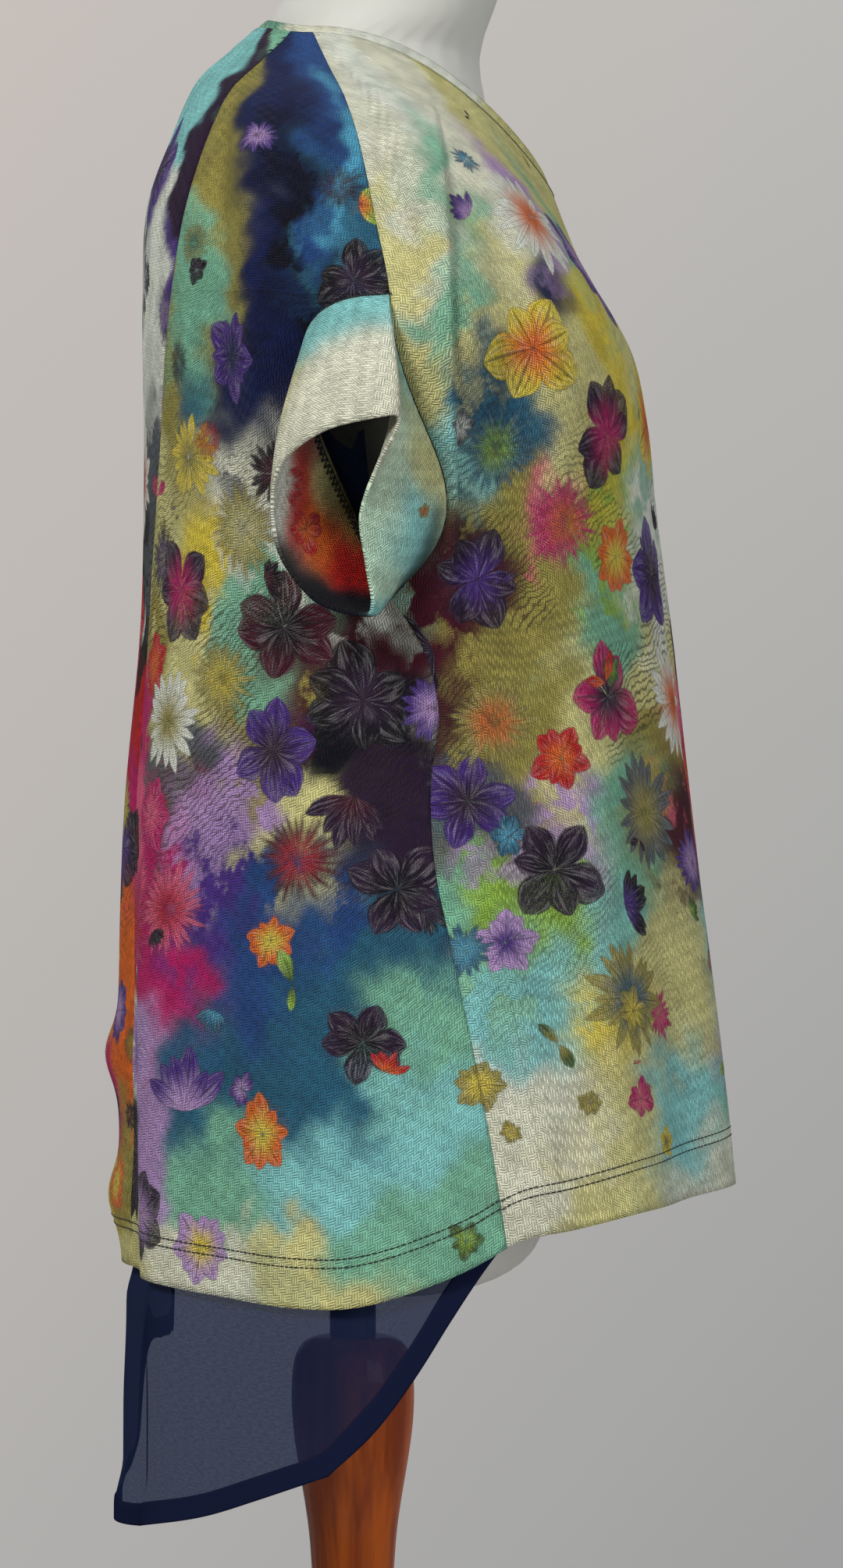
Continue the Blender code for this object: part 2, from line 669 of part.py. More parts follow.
def sheer_band_height(azimuth, width):
    """The height that wide above the outer edge, measured square to its slope."""
    step = 1.0
    rise = sheer_edge_height(azimuth + step) - sheer_edge_height(azimuth - step)
    radius, _ = plain_radius(azimuth, np.ones_like(azimuth))
    slope = rise / (radius * np.radians(2 * step))
    return sheer_edge_height(azimuth) + width * np.sqrt(1 + slope**2)


def tail_columns():
    """Azimuths across the tail, one at each named point of its edge, and one between."""
    named = column_of(SHEER_EDGE, "azimuth")
    between = (named[:-1] + named[1:]) / 2
    wide = np.diff(named) > WIDE_TAIL_STEP
    return np.sort(np.concatenate([named, between[wide]]))


def make_sheer_panel(group):
    tail = tail_columns()
    azimuth = np.concatenate([[SHEER_FRONT_AZIMUTH], tail, SHEER_HIDDEN_AZIMUTHS])
    bottom = np.full_like(azimuth, SHEER_LEFT_EDGE_HEIGHT)
    bottom[1 : 1 + len(tail)] = sheer_band_height(tail, SHEER_HEM_WIDTH + SEAM_GAP)
    bottom = np.minimum(bottom, SHEER_LEFT_EDGE_HEIGHT)
    top = cloth_height(azimuth, np.full_like(azimuth, SHEER_TOP_ROW))
    share = np.linspace(0, 1, SHEER_ROWS)[None, :]
    height = top[:, None] * (1 - share) + bottom[:, None] * share
    grid = sheer_point(azimuth[:, None], height)
    join_grid("sheer_panel", grid, "navy_sheer", group, SHEER_WALL)


def make_sheer_hem(group):
    azimuth = tail_columns()[:-1]
    inner = np.minimum(
        sheer_band_height(azimuth, SHEER_HEM_WIDTH), SHEER_LEFT_EDGE_HEIGHT - 0.001
    )
    outer = sheer_edge_height(azimuth)
    grid = sheer_point(azimuth[:, None], np.stack([inner, outer], -1))
    join_grid("sheer_hem", grid, "navy_sheer", group, SHEER_WALL)


def ridge_value(name, height):
    """A ring value of the blouse's shoulder line at that height."""
    rows = np.linspace(0, RIDGE_LAST_ROW, RIDGE_LOOKUPS)
    return float(np.interp(-height, -ring_value("z_side", rows), ring_value(name, rows)))


def form_rings():
    shoulders = [
        FormRing(
            ring.z,
            ring.y_front,
            ring.y_back,
            ridge_value("half_width", ring.z + SHOULDER_SEAT_GAP) - CLOTH_WALL,
            ring.power,
        )
        for ring in FORM_SHOULDERS
    ]
    return (*FORM_LOWER_RINGS, *shoulders, *FORM_NECK_RINGS)


def form_ring_middle(ring):
    """The y of a form ring's widest place: under the blouse's shoulder line where it is wide."""
    plain = (ring.y_front + ring.y_back) / 2
    share = float(
        smooth_step(FORM_SHOULDER_FROM, FORM_SHOULDER_FULL, ring.z)
        * (1 - smooth_step(FORM_SHOULDER_LEAVE, FORM_SHOULDER_END, ring.z))
    )
    return plain * (1 - share) + ridge_value("y_middle", ring.z) * share


def make_dress_form(group):
    """Rings from the flat bottom to the neck's cap, closed with one face at each end."""
    angle = np.radians(np.arange(FORM_SECTIONS) * 360 / FORM_SECTIONS)
    shape = bmesh.new()
    loops = []
    for ring in form_rings():
        middle = form_ring_middle(ring)
        depth = np.where(np.cos(angle) > 0, middle - ring.y_front, ring.y_back - middle)
        along = np.abs(np.cos(angle) / depth) ** ring.power
        along = along + np.abs(np.sin(angle) / ring.half_width) ** ring.power
        reach = along ** (-1 / ring.power)
        loops.append(
            [
                shape.verts.new((-r * math.sin(a), middle - r * math.cos(a), ring.z))
                for r, a in zip(reach, angle)
            ]
        )
    for lower, upper in zip(loops, loops[1:]):
        for i, _ in enumerate(lower):
            after = (i + 1) % len(lower)
            shape.faces.new((lower[i], lower[after], upper[after], upper[i]))
    shape.faces.new(loops[0])
    shape.faces.new(loops[-1])
    bmesh.ops.recalc_face_normals(shape, faces=shape.faces)
    return mesh_object("dress_form", shape, "form_cover", group)


def make_turned(name, profile, finish, group, steps):
    """A turned solid: its profile, from the top down its outer side, with a Screw modifier."""
    shape = bmesh.new()
    verts = [shape.verts.new((point.radius, 0, point.z)) for point in profile]
    for start, end in zip(verts, verts[1:]):
        shape.edges.new((start, end))
    made = mesh_object(name, shape, finish, group)
    turn = made.modifiers.new("turning", "SCREW")
    turn.steps = turn.render_steps = steps
    turn.use_merge_vertices = True
    turn.merge_threshold = 0.00005
    return made


def make_pole(group):
    shape = bmesh.new()
    length = FORM_BOTTOM - COLUMN_TOP - 2 * TOUCH_GAP
    bmesh.ops.create_cone(
        shape,
        cap_ends=True,
        segments=POLE_SECTIONS,
        radius1=POLE_RADIUS,
        radius2=POLE_RADIUS,
        depth=length,
    )
    made = mesh_object("stand_pole", shape, "black_metal", group)
    made.location.z = COLUMN_TOP + TOUCH_GAP + length / 2
    return made


def main():
    clear_scene()
    group = new_collection(COLLECTION_NAME)
    make_front_panel(group)
    make_back_panels(group)
    make_centre_back(group)
    make_cuffs(group)
    make_neckband(group)
    make_sheer_panel(group)
    make_sheer_hem(group)
    make_dress_form(group)
    make_pole(group)
    make_turned("stand_column", COLUMN_PROFILE, "varnished_wood", group, COLUMN_SECTIONS)
    make_turned("stand_base", BASE_PROFILE, "varnished_wood", group, BASE_SECTIONS)


main()
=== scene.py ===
"""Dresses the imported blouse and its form: printed weave, sheer layer, threads, wood, light and camera."""

import logging
import math
from dataclasses import dataclass, field
from enum import Enum
from typing import Any, Callable, Optional, Sequence

import bpy
import numpy as np
from numpy.typing import NDArray
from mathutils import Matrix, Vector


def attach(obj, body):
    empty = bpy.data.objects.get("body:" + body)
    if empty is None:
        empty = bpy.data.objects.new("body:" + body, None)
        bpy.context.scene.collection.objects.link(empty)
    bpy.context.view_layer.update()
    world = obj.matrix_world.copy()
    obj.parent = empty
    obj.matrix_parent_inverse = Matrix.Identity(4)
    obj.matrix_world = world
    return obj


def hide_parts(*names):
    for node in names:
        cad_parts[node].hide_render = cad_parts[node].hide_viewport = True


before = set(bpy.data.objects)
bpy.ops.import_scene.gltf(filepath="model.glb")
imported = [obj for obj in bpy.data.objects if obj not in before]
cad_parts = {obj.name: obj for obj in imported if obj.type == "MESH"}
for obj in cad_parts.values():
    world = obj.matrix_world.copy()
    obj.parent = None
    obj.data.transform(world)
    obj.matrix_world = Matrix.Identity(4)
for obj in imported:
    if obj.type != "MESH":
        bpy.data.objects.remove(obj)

LOG = logging.getLogger("blouse")
SEED = 41

Array = NDArray[np.float64]
Colour = tuple[int, int, int]


def linear(colour: Colour) -> Array:
    """Turns a display colour from 0 to 255 into the three linear values that the shaders use."""
    share = np.array(colour, float) / 255
    return np.where(share <= 0.04045, share / 12.92, ((share + 0.055) / 1.055) ** 2.4)


def opaque(colour: Colour) -> tuple[float, ...]:
    """Turns a display colour into the four values of a colour socket."""
    return (*linear(colour), 1)


def add_object(name: str, data: Any) -> bpy.types.Object:
    """Adds an object to the scene, at its origin.

    Args:
        name: its name.
        data: its mesh, curve, light or camera.

    Returns:
        The object.
    """
    made = bpy.data.objects.new(name, data)
    bpy.context.scene.collection.objects.link(made)
    return made


class Tone(Enum):
    """The colours of the print, as they look on the cloth."""

    CREAM = (226, 226, 202)
    PALE = (230, 234, 220)
    BUTTER = (216, 210, 142)
    YELLOW = (226, 204, 70)
    OLIVE = (158, 148, 74)
    LIME = (146, 184, 66)
    AQUA = (138, 208, 206)
    SEA = (128, 190, 158)
    MINT = (196, 226, 196)
    SKY = (84, 166, 198)
    TEAL = (42, 96, 122)
    BLUE = (38, 74, 132)
    NAVY = (16, 28, 76)
    NIGHT = (7, 7, 22)
    VIOLET = (76, 46, 132)
    LILAC = (184, 150, 202)
    PLUM = (44, 24, 52)
    MAROON = (72, 14, 34)
    MAGENTA = (188, 26, 102)
    PINK = (224, 94, 128)
    RED = (192, 24, 26)
    ORANGE = (226, 106, 30)
    LEAF = (70, 98, 46)
    GREY = (88, 94, 98)
    BLACK = (10, 7, 14)


class Bloom(Enum):
    """Kinds of motif: petals in a ring, how many are drawn, half width, ink, edge softness, bend."""

    LILY = (3, 3, 0.36, 0.95, 0.0006, 0.5)
    STAR = (5, 5, 0.30, 0.75, 0.0008, 0.2)
    DAISY = (9, 9, 0.13, 0.62, 0.0007, 0.3)
    FRINGE = (15, 15, 0.085, 0.80, 0.0009, 1.3)
    LEAF = (1, 1, 0.22, 0.70, 0.0006, 0.5)
    SPRAY = (8, 3, 0.20, 0.85, 0.0006, 0.6)


@dataclass(frozen=True)
class Motif:
    """One motif of the print.

    Attributes:
        kind: its form.
        across: its middle's place across the piece, in the piece's own measure.
        up: its middle's place up the piece.
        radius: its size in millimetres.
        turn: its turn, as a share of a full turn.
        outer: the colour of its outer part.
        inner: the colour nearer to its middle.
    """

    kind: Bloom
    across: float
    up: float
    radius: float
    turn: float
    outer: Tone
    inner: Tone


@dataclass(frozen=True)
class Spot:
    """A soft patch of the ground colour.

    Attributes:
        across: its middle's place across the piece.
        up: its middle's place up the piece.
        wide: its reach across, in millimetres.
        tall: its reach up, in millimetres.
        tone: its colour.
    """

    across: float
    up: float
    wide: float
    tall: float
    tone: Tone


@dataclass(frozen=True)
class Ring:
    """One ring of the cloth between the neck seam (0) and the hem (1)."""

    row: float
    z_front: float
    z_side: float
    z_back: float
    y_front: float
    y_middle: float
    y_back: float
    half_width: float
    power: float


@dataclass(frozen=True)
class Fold:
    """A soft fold: where it lies on the right half, and how the left one differs."""

    azimuth: float
    lean: float
    row_from: float
    row_to: float
    width: float
    rise: float
    left_turn: float
    left_scale: float


RINGS = (
    Ring(0.000, 1.2976, 1.3752, 1.3873, -0.1126, 0.0205, 0.0563, 0.0750, 2.00),
    Ring(0.055, 1.2710, 1.3521, 1.3730, -0.1225, 0.0117, 0.0720, 0.1100, 2.00),
    Ring(0.130, 1.2400, 1.3211, 1.3520, -0.1350, 0.0005, 0.0905, 0.1760, 2.05),
    Ring(0.180, 1.2220, 1.2970, 1.3250, -0.1440, -0.0061, 0.1015, 0.2060, 2.10),
    Ring(0.250, 1.1960, 1.2542, 1.2830, -0.1590, -0.0148, 0.1155, 0.2250, 2.15),
    Ring(0.310, 1.1660, 1.2145, 1.2350, -0.1650, -0.0224, 0.1175, 0.2360, 2.20),
    Ring(0.420, 1.1150, 1.1350, 1.1450, -0.1705, -0.0215, 0.1168, 0.2220, 2.25),
    Ring(0.520, 1.0550, 1.0616, 1.0650, -0.1785, -0.0226, 0.1184, 0.2030, 2.30),
    Ring(0.680, 0.9500, 0.9500, 0.9500, -0.1910, -0.0320, 0.1280, 0.2000, 2.35),
    Ring(0.840, 0.8450, 0.8400, 0.8300, -0.2030, -0.0380, 0.1310, 0.2070, 2.35),
    Ring(1.000, 0.7393, 0.7275, 0.7003, -0.2143, -0.0430, 0.1290, 0.2150, 2.35),
)
HEM = ((0, 0.7445), (15, 0.7450), (30, 0.7476), (40, 0.7457), (50, 0.7431), (60, 0.7412), (70, 0.7344),
       (78, 0.7285), (84, 0.7162), (90, 0.7068), (101, 0.6955), (108, 0.6946), (125, 0.6972),
       (135, 0.7000), (150, 0.7009), (180, 0.7003))
SIDE_SEAM = ((0.52, -0.0226), (0.55, -0.0370), (0.60, -0.0480), (0.66, -0.0435), (0.71, -0.0450),
             (0.78, -0.0550), (0.84, -0.0640), (0.92, -0.0745), (1.00, -0.0830))
PRINCESS_SEAM = ((0.000, 100.0), (0.045, 110.0), (0.120, 115.5), (0.190, 120.0), (0.250, 124.0),
                 (0.310, 129.5), (0.420, 138.0), (0.520, 147.5), (0.570, 151.0), (0.640, 153.5),
                 (0.840, 154.0), (1.000, 157.0))
MAIN_FOLDS = (
    Fold(82.0, 0.0, 0.18, 0.50, 4.2, 0.0070, 1.0, 0.9),
    Fold(73.0, 0.0, 0.18, 0.58, 6.0, -0.0090, -1.5, 1.0),
    Fold(87.0, 0.0, 0.15, 0.36, 2.4, -0.0030, 0.0, 1.1),
    Fold(99.0, 2.0, 0.14, 0.42, 3.6, -0.0055, 1.0, 0.8),
    Fold(106.0, 3.0, 0.13, 0.46, 4.0, 0.0050, -1.5, 1.1),
    Fold(114.0, 4.0, 0.15, 0.52, 5.0, -0.0060, 1.0, 0.9),
    Fold(85.0, -3.0, 0.53, 0.80, 5.0, -0.0050, 1.0, 1.2),
    Fold(102.0, 2.0, 0.52, 1.30, 8.0, 0.0060, 2.0, 0.9),
    Fold(119.0, 3.0, 0.50, 1.35, 8.0, -0.0060, -2.0, 1.1),
    Fold(136.0, 2.0, 0.55, 1.40, 8.0, 0.0055, 1.5, 0.9),
    Fold(152.0, 0.0, 0.50, 1.40, 8.0, -0.0055, -2.0, 1.1),
    Fold(63.0, -3.0, 0.50, 1.35, 8.0, 0.0060, 1.5, 1.1),
    Fold(47.0, -2.0, 0.42, 1.40, 8.5, -0.0055, -2.0, 0.9),
    Fold(32.0, -2.0, 0.50, 1.35, 8.0, 0.0050, 2.0, 1.0),
    Fold(16.0, -1.0, 0.55, 1.40, 8.0, -0.0040, -1.0, 1.1),
)
FINE_FOLDS = (
    Fold(86.8, -0.5, 0.02, 0.34, 2.0, -0.0034, 0.5, 1.0),
    Fold(83.0, -1.0, 0.02, 0.30, 2.2, 0.0026, 0.5, 0.9),
    Fold(102.6, 1.0, 0.04, 0.44, 2.4, -0.0040, 1.0, 0.9),
    Fold(98.6, 0.5, 0.03, 0.34, 1.7, 0.0022, -0.5, 1.1),
    Fold(107.5, 2.0, 0.06, 0.44, 2.2, 0.0028, 1.0, 1.0),
    Fold(112.5, 3.0, 0.06, 0.40, 2.2, -0.0028, 0.8, 1.1),
    Fold(95.5, 1.0, 0.10, 0.31, 1.6, 0.0012, 0.5, 1.1),
    Fold(109.5, 2.0, 0.20, 0.48, 1.8, -0.0011, 1.0, 0.9),
    Fold(122.0, 3.0, 0.22, 0.50, 2.0, 0.0012, -1.0, 1.0),
    Fold(77.0, -1.0, 0.22, 0.44, 1.5, 0.0013, 0.8, 1.1),
    Fold(68.5, -1.5, 0.16, 0.40, 2.0, 0.0014, -1.0, 0.9),
    Fold(60.0, 3.0, 0.30, 0.62, 2.4, -0.0013, 1.0, 1.0),
    Fold(38.0, 5.0, 0.24, 0.52, 3.0, 0.0012, 1.5, 0.8),
    Fold(27.0, -4.0, 0.36, 0.70, 2.6, -0.0011, -1.0, 1.1),
    Fold(92.0, 2.0, 0.55, 0.86, 2.2, 0.0014, 1.0, 0.9),
    Fold(110.0, -3.0, 0.60, 0.98, 2.4, -0.0013, -1.2, 1.1),
    Fold(127.0, 3.0, 0.56, 0.90, 2.0, -0.0012, 1.0, 0.9),
    Fold(144.0, -3.0, 0.62, 1.05, 2.4, 0.0013, 0.8, 1.0),
    Fold(55.0, 4.0, 0.66, 1.02, 2.4, -0.0012, 1.0, 1.1),
    Fold(24.0, 3.0, 0.70, 1.10, 2.4, 0.0011, -1.5, 0.9),
    Fold(165.0, 3.0, 0.30, 0.70, 3.0, -0.0012, 2.0, 1.0),
)
# Two outward waves low on the centre back: height, reach, rise, spread
BACK_WAVES = ((0.8140, 0.0190, 0.0085, 17.0), (0.7350, 0.0190, 0.0080, 19.0))
# The overhanging fold's edge: row and y
LIP_EDGE = ((0.06, -0.0430), (0.10, -0.0455), (0.16, -0.0488), (0.22, -0.0512), (0.31, -0.0528),
            (0.38, -0.0545), (0.46, -0.0565), (0.56, -0.0590))
LIP_RISE = 0.0030
LIP_DROP = 0.0056
CLOTH_WALL = 0.0012
SHOWN_WALL = 0.0010
CUFF_WALL = 0.0020
BAND_WALL = 0.0015
SHEER_WALL = 0.0010
SEAM_GAP = 0.0003
CUFF_TOP_ROW = 0.31
UNDERARM_ROW = 0.52
SHEER_TOP_ROW = 0.24
HEM_BLEND_ROW = 0.62
SEAM_DIP = 0.0009
SEAM_REACH = 0.0024
EASE_ROWS = 21
ARMHOLE_FRONT = (0.029, 1.9)
ARMHOLE_BACK = (0.046, 0.45)
# The cuff's free edge: clock, x, y, z
CUFF_EDGE = (
    (0, 0.2720, -0.0140, 1.1490), (35, 0.2650, -0.0285, 1.1470), (65, 0.2590, -0.0180, 1.1255),
    (95, 0.2500, -0.0090, 1.1006), (125, 0.2410, -0.0115, 1.0757), (160, 0.2360, -0.0148, 1.0560),
    (185, 0.2350, -0.0110, 1.0500), (215, 0.2365, 0.0130, 1.0550), (240, 0.2400, 0.0265, 1.0680),
    (265, 0.2470, 0.0355, 1.0840), (292, 0.2560, 0.0380, 1.1080), (322, 0.2680, 0.0300, 1.1298),
    (345, 0.2740, 0.0070, 1.1440),
)
BAND_WIDTHS = (0.0125, 0.0090, 0.0080)
BAND_LEANS = (0.35, 0.80, 0.72)
BAND_GAP = 0.0006
# The form's nape: height, reach and rise
NAPE = (1.3940, 0.0120, 0.0052)
SHEER_EDGE = (
    (79.0, 0.7300), (83.0, 0.7100), (87.0, 0.6876), (91.0, 0.6644), (97.5, 0.6322), (104.5, 0.6073),
    (110.0, 0.5998), (116.0, 0.5918), (125.0, 0.5808), (137.0, 0.5713), (157.0, 0.5596), (175.0, 0.5620),
    (187.0, 0.5710), (196.0, 0.5830), (200.0, 0.6050), (203.5, 0.6360), (209.0, 0.6420), (215.0, 0.6440),
    (218.5, 0.6560), (221.0, 0.7400),
)
SHEER_CORNER = 104.5
SHEER_HEM_WIDTH = 0.012
SHEER_FRONT_AZIMUTH = 76.0
SHEER_LEFT_EDGE_HEIGHT = 0.7560
# The sheer's upper edge beside the armhole: azimuth and height
SHEER_ARMHOLE_TOP = ((76.0, 1.050), (91.8, 1.060), (92.8, 1.132), (95.0, 1.137), (98.0, 1.146), (101.0, 1.175),
                     (106.0, 1.230), (112.0, 1.300), (180.0, 1.400))
TAIL_FLARE = (0.0042, 0.0046)
TAIL_TUCK = 0.136


def smooth_curve(table: Sequence[Sequence[float]], places: Any, column: int = 1) -> Array:
    """Reads a smooth curve through a table's points.

    Args:
        table: rows with the knot first.
        places: where it is read.
        column: which column holds the value.

    Returns:
        The values at the places.
    """
    knots = np.array([entry[0] for entry in table], float)
    values = np.array([entry[column] for entry in table], float)
    slopes = np.gradient(values, knots)
    places = np.clip(np.asarray(places, float), knots[0], knots[-1])
    cell = np.clip(np.searchsorted(knots, places, side="right") - 1, 0, len(knots) - 2)
    span = knots[cell + 1] - knots[cell]
    share = (places - knots[cell]) / span
    start = 2 * share**3 - 3 * share**2 + 1
    return (
        start * values[cell]
        + (share**3 - 2 * share**2 + share) * span * slopes[cell]
        + (1 - start) * values[cell + 1]
        + (share**3 - share**2) * span * slopes[cell + 1]
    )


def smooth_step(low: float, high: float, value: Any) -> Array:
    """Goes from 0 to 1 smoothly between two values.

    Args:
        low: where it leaves 0.
        high: where it reaches 1.
        value: where it is read.

    Returns:
        The share at each value.
    """
    share = np.clip((np.asarray(value, float) - low) / (high - low), 0, 1)
    return share * share * (3 - 2 * share)


def half_turn(azimuth: Any) -> Array:
    """Folds an azimuth, 0 in front and 90 on either side, onto 0 to 180 degrees."""
    return np.abs(np.mod(np.asarray(azimuth, float) + 180, 360) - 180)


@dataclass
class ClothSurface:
    """The one surface that every panel of the blouse is cut from."""

    rings: Sequence[Ring] = RINGS
    folds: Sequence[Fold] = MAIN_FOLDS + FINE_FOLDS
    tables: dict[str, list[tuple[float, float]]] = field(default_factory=dict)

    def __post_init__(self) -> None:
        """Makes one table of each ring value."""
        for name in ("z_front", "z_side", "z_back", "y_front", "y_middle", "y_back", "half_width", "power"):
            self.tables[name] = [(ring.row, getattr(ring, name)) for ring in self.rings]

    def ring(self, name: str, row: Any) -> Array:
        """Reads a ring value by its name, at rows from 0 at the neck seam to 1 at the hem."""
        return smooth_curve(self.tables[name], row)

    def radius(self, azimuth: Any, row: Any) -> tuple[Array, Array]:
        """Finds the plain ring radius.

        Args:
            azimuth: degrees round the body.
            row: the row.

        Returns:
            The radius and the y of the ring's middle.
        """
        turned = np.radians(half_turn(azimuth))
        middle = self.ring("y_middle", row)
        depth = np.where(
            np.cos(turned) > 0, middle - self.ring("y_front", row), self.ring("y_back", row) - middle
        )
        power = self.ring("power", row)
        along = np.abs(np.cos(turned) / depth) ** power
        along = along + np.abs(np.sin(turned) / self.ring("half_width", row)) ** power
        return along ** (-1 / power), middle

    def height(self, azimuth: Any, row: Any) -> Array:
        """Finds the cloth's height.

        Args:
            azimuth: degrees round the body.
            row: the row.

        Returns:
            The height in metres.
        """
        turned = np.radians(half_turn(azimuth))

        def plain(at: Any) -> Array:
            sideways = self.radius(azimuth, at)[0] * np.sin(turned) / self.ring("half_width", at)
            ahead = np.where(np.cos(turned) > 0, self.ring("z_front", at), self.ring("z_back", at))
            return ahead + (self.ring("z_side", at) - ahead) * np.clip(sideways, 0, 1) ** 2

        rise = smooth_curve(HEM, half_turn(azimuth)) - plain(np.ones_like(turned * row))
        return plain(row) + rise * smooth_step(HEM_BLEND_ROW, 1, row)

    def fold_rise(self, azimuth: Array, row: Array) -> Array:
        """Adds up the soft folds.

        Args:
            azimuth: degrees round the body.
            row: the row.

        Returns:
            How far they lift the cloth.
        """
        turned = half_turn(azimuth)
        left = np.mod(azimuth, 360) > 180
        total = self.lip(turned, row)
        for fold in self.folds:
            share = np.clip((row - fold.row_from) / (fold.row_to - fold.row_from), 0, 1)
            middle = fold.azimuth + fold.lean * share + np.where(left, fold.left_turn, 0)
            across = np.exp(-(((turned - middle) / fold.width) ** 2))
            scale = np.where(left, fold.left_scale, 1.0)
            total = total + fold.rise * scale * across * np.sin(np.pi * share) ** 0.8
        return total

    def lip(self, turned: Array, row: Array) -> Array:
        """Shapes the long overhanging fold in front of the armhole.

        Args:
            turned: degrees from the front, the same on both sides.
            row: the row.

        Returns:
            How far it lifts the cloth.
        """
        radius, middle = self.radius(turned, row)
        edge = smooth_curve(LIP_EDGE, row) - (middle - radius * np.cos(np.radians(turned)))
        share = np.clip((row - LIP_EDGE[0][0]) / (LIP_EDGE[-1][0] - LIP_EDGE[0][0]), 0, 1)
        tall = np.sin(np.pi * share) ** 0.6
        behind = LIP_RISE * np.exp(np.minimum(edge, 0) / 0.012)
        ahead = -LIP_DROP * np.exp(-np.maximum(edge, 0) / 0.020)
        return tall * (behind + (ahead - behind) * smooth_step(-0.0012, 0.0016, edge))

    def point(self, azimuth: Any, row: Any, inset: Any = 0.0, waves: bool = True) -> Array:
        """Finds points of the cloth's inner face.

        Args:
            azimuth: degrees round the body.
            row: the row.
            inset: how far inside that face, in metres.
            waves: whether the centre back's waves count.

        Returns:
            The points, with x, y and z last.
        """
        azimuth, row = np.broadcast_arrays(np.asarray(azimuth, float), np.asarray(row, float))
        radius, middle = self.radius(azimuth, row)
        height = self.height(azimuth, row)
        reach = radius - CLOTH_WALL + self.fold_rise(azimuth, row) - inset
        if waves:
            off_centre = 180 - half_turn(azimuth)
            for at, tall, rise, wide in BACK_WAVES:
                swell = np.exp(-((off_centre / wide) ** 2) - ((height - at) / tall) ** 2)
                reach = reach + rise * swell
        angle = np.radians(azimuth)
        return np.stack([-reach * np.sin(angle), middle - reach * np.cos(angle), height], -1)

    def azimuth_at_y(self, y: Any, row: Any) -> Array:
        """Finds where a ring passes a y on the wearer's right.

        Args:
            y: the wanted y.
            row: the row.

        Returns:
            The azimuth.
        """
        azimuth = np.full(np.shape(row), 90.0)
        for _ in range(8):
            radius, middle = self.radius(azimuth, row)
            azimuth = np.degrees(np.arccos(np.clip((middle - y) / radius, -1, 1)))
        return azimuth

    def armhole_y(self, row: Any, front: bool) -> Array:
        """Finds the armhole's edge.

        Args:
            row: the row.
            front: whether it is the front's edge.

        Returns:
            Its y.
        """
        share = np.clip((np.asarray(row, float) - CUFF_TOP_ROW) / (UNDERARM_ROW - CUFF_TOP_ROW), 0, 1)
        line = float(self.ring("y_middle", CUFF_TOP_ROW))
        width, skew = ARMHOLE_FRONT if front else ARMHOLE_BACK
        return line + (-1 if front else 1) * width * np.sin(np.pi * share**skew)

    def plain_edge(self, row: Array) -> Array:
        """Finds where the front and the side back would part without the armhole.

        Args:
            row: the row.

        Returns:
            The azimuth on the wearer's right.
        """
        seam = self.azimuth_at_y(smooth_curve(SIDE_SEAM, row), row)
        return 90 + (seam - 90) * smooth_step(CUFF_TOP_ROW, UNDERARM_ROW, row)

    def side_edge(self, row: Array, front: bool) -> Array:
        """Finds the azimuth where the front and the side back part.

        Args:
            row: the row.
            front: whether it is the front's edge.

        Returns:
            The azimuth on the wearer's right.
        """
        seam = self.plain_edge(row)
        in_armhole = (row > CUFF_TOP_ROW) & (row < UNDERARM_ROW)
        return np.where(in_armhole, self.azimuth_at_y(self.armhole_y(row, front), row), seam)

    def half_gap(self, azimuth: Array, row: Array) -> Array:
        """Turns half of the seam gap into degrees at each azimuth and row."""
        return np.degrees(SEAM_GAP / 2 / self.radius(azimuth, row)[0])

    def rows(self, count: int) -> Array:
        """Spreads rows from neck to hem, with the armhole's ends among them.

        Args:
            count: about how many.

        Returns:
            The rows.
        """
        upper = np.linspace(0, CUFF_TOP_ROW, round(count * 0.34))
        armhole = np.linspace(0, 1, round(count * 0.22)) ** 1.4
        lower = np.linspace(UNDERARM_ROW, 1, round(count * 0.46))
        middle = CUFF_TOP_ROW + (UNDERARM_ROW - CUFF_TOP_ROW) * armhole
        return np.concatenate([upper, middle[1:], lower[1:]])


SURFACE = ClothSurface()


@dataclass
class Grid:
    """A sheet of points with the measures that its print and weave need.

    Attributes:
        points: columns by rows by x, y and z.
        across: each point's place across, in the print's measure.
        up: each point's place up.
        metres: each point's place on the flat cloth, in metres.
    """

    points: Array
    across: Array
    up: Array
    metres: Array

    @classmethod
    def measured(cls, points: Array, across: Array, up: Array, middle: float = 0.5) -> "Grid":
        """Measures the flat cloth along the grid's own lines.

        Args:
            points: columns by rows by x, y and z.
            across: places across.
            up: places up.
            middle: the share of the columns where the cloth's grain runs true.

        Returns:
            The grid.
        """
        down = np.linalg.norm(np.diff(points, axis=1), axis=-1)
        down = np.concatenate([np.zeros((len(points), 1)), np.cumsum(down, axis=1)], axis=1)
        side = np.linalg.norm(np.diff(points, axis=0), axis=-1)
        side = np.concatenate([np.zeros((1, points.shape[1])), np.cumsum(side, axis=0)])
        side = side - side[round(middle * (len(points) - 1))]
        return cls(points, across, up, np.stack([side, -down], -1))

    def normals(self) -> Array:
        """Finds the unit normals.

        Returns:
            Columns by rows by x, y and z.
        """
        across = np.gradient(self.points, axis=0)
        normal = np.cross(np.gradient(self.points, axis=1), across)
        return normal / np.maximum(np.linalg.norm(normal, axis=-1, keepdims=True), 1e-9)

    def mirrored(self) -> "Grid":
        """Turns the grid over to the wearer's left.

        Returns:
            The other side's grid, with its columns in reverse order.
        """
        flip = np.array([-1.0, 1.0, 1.0])
        return Grid(
            (self.points * flip)[::-1],
            -self.across[::-1],
            self.up[::-1],
            self.metres[::-1] * np.array([-1.0, 1.0]),
        )


LAYERS = 3
CELL_REACH = 0.0055


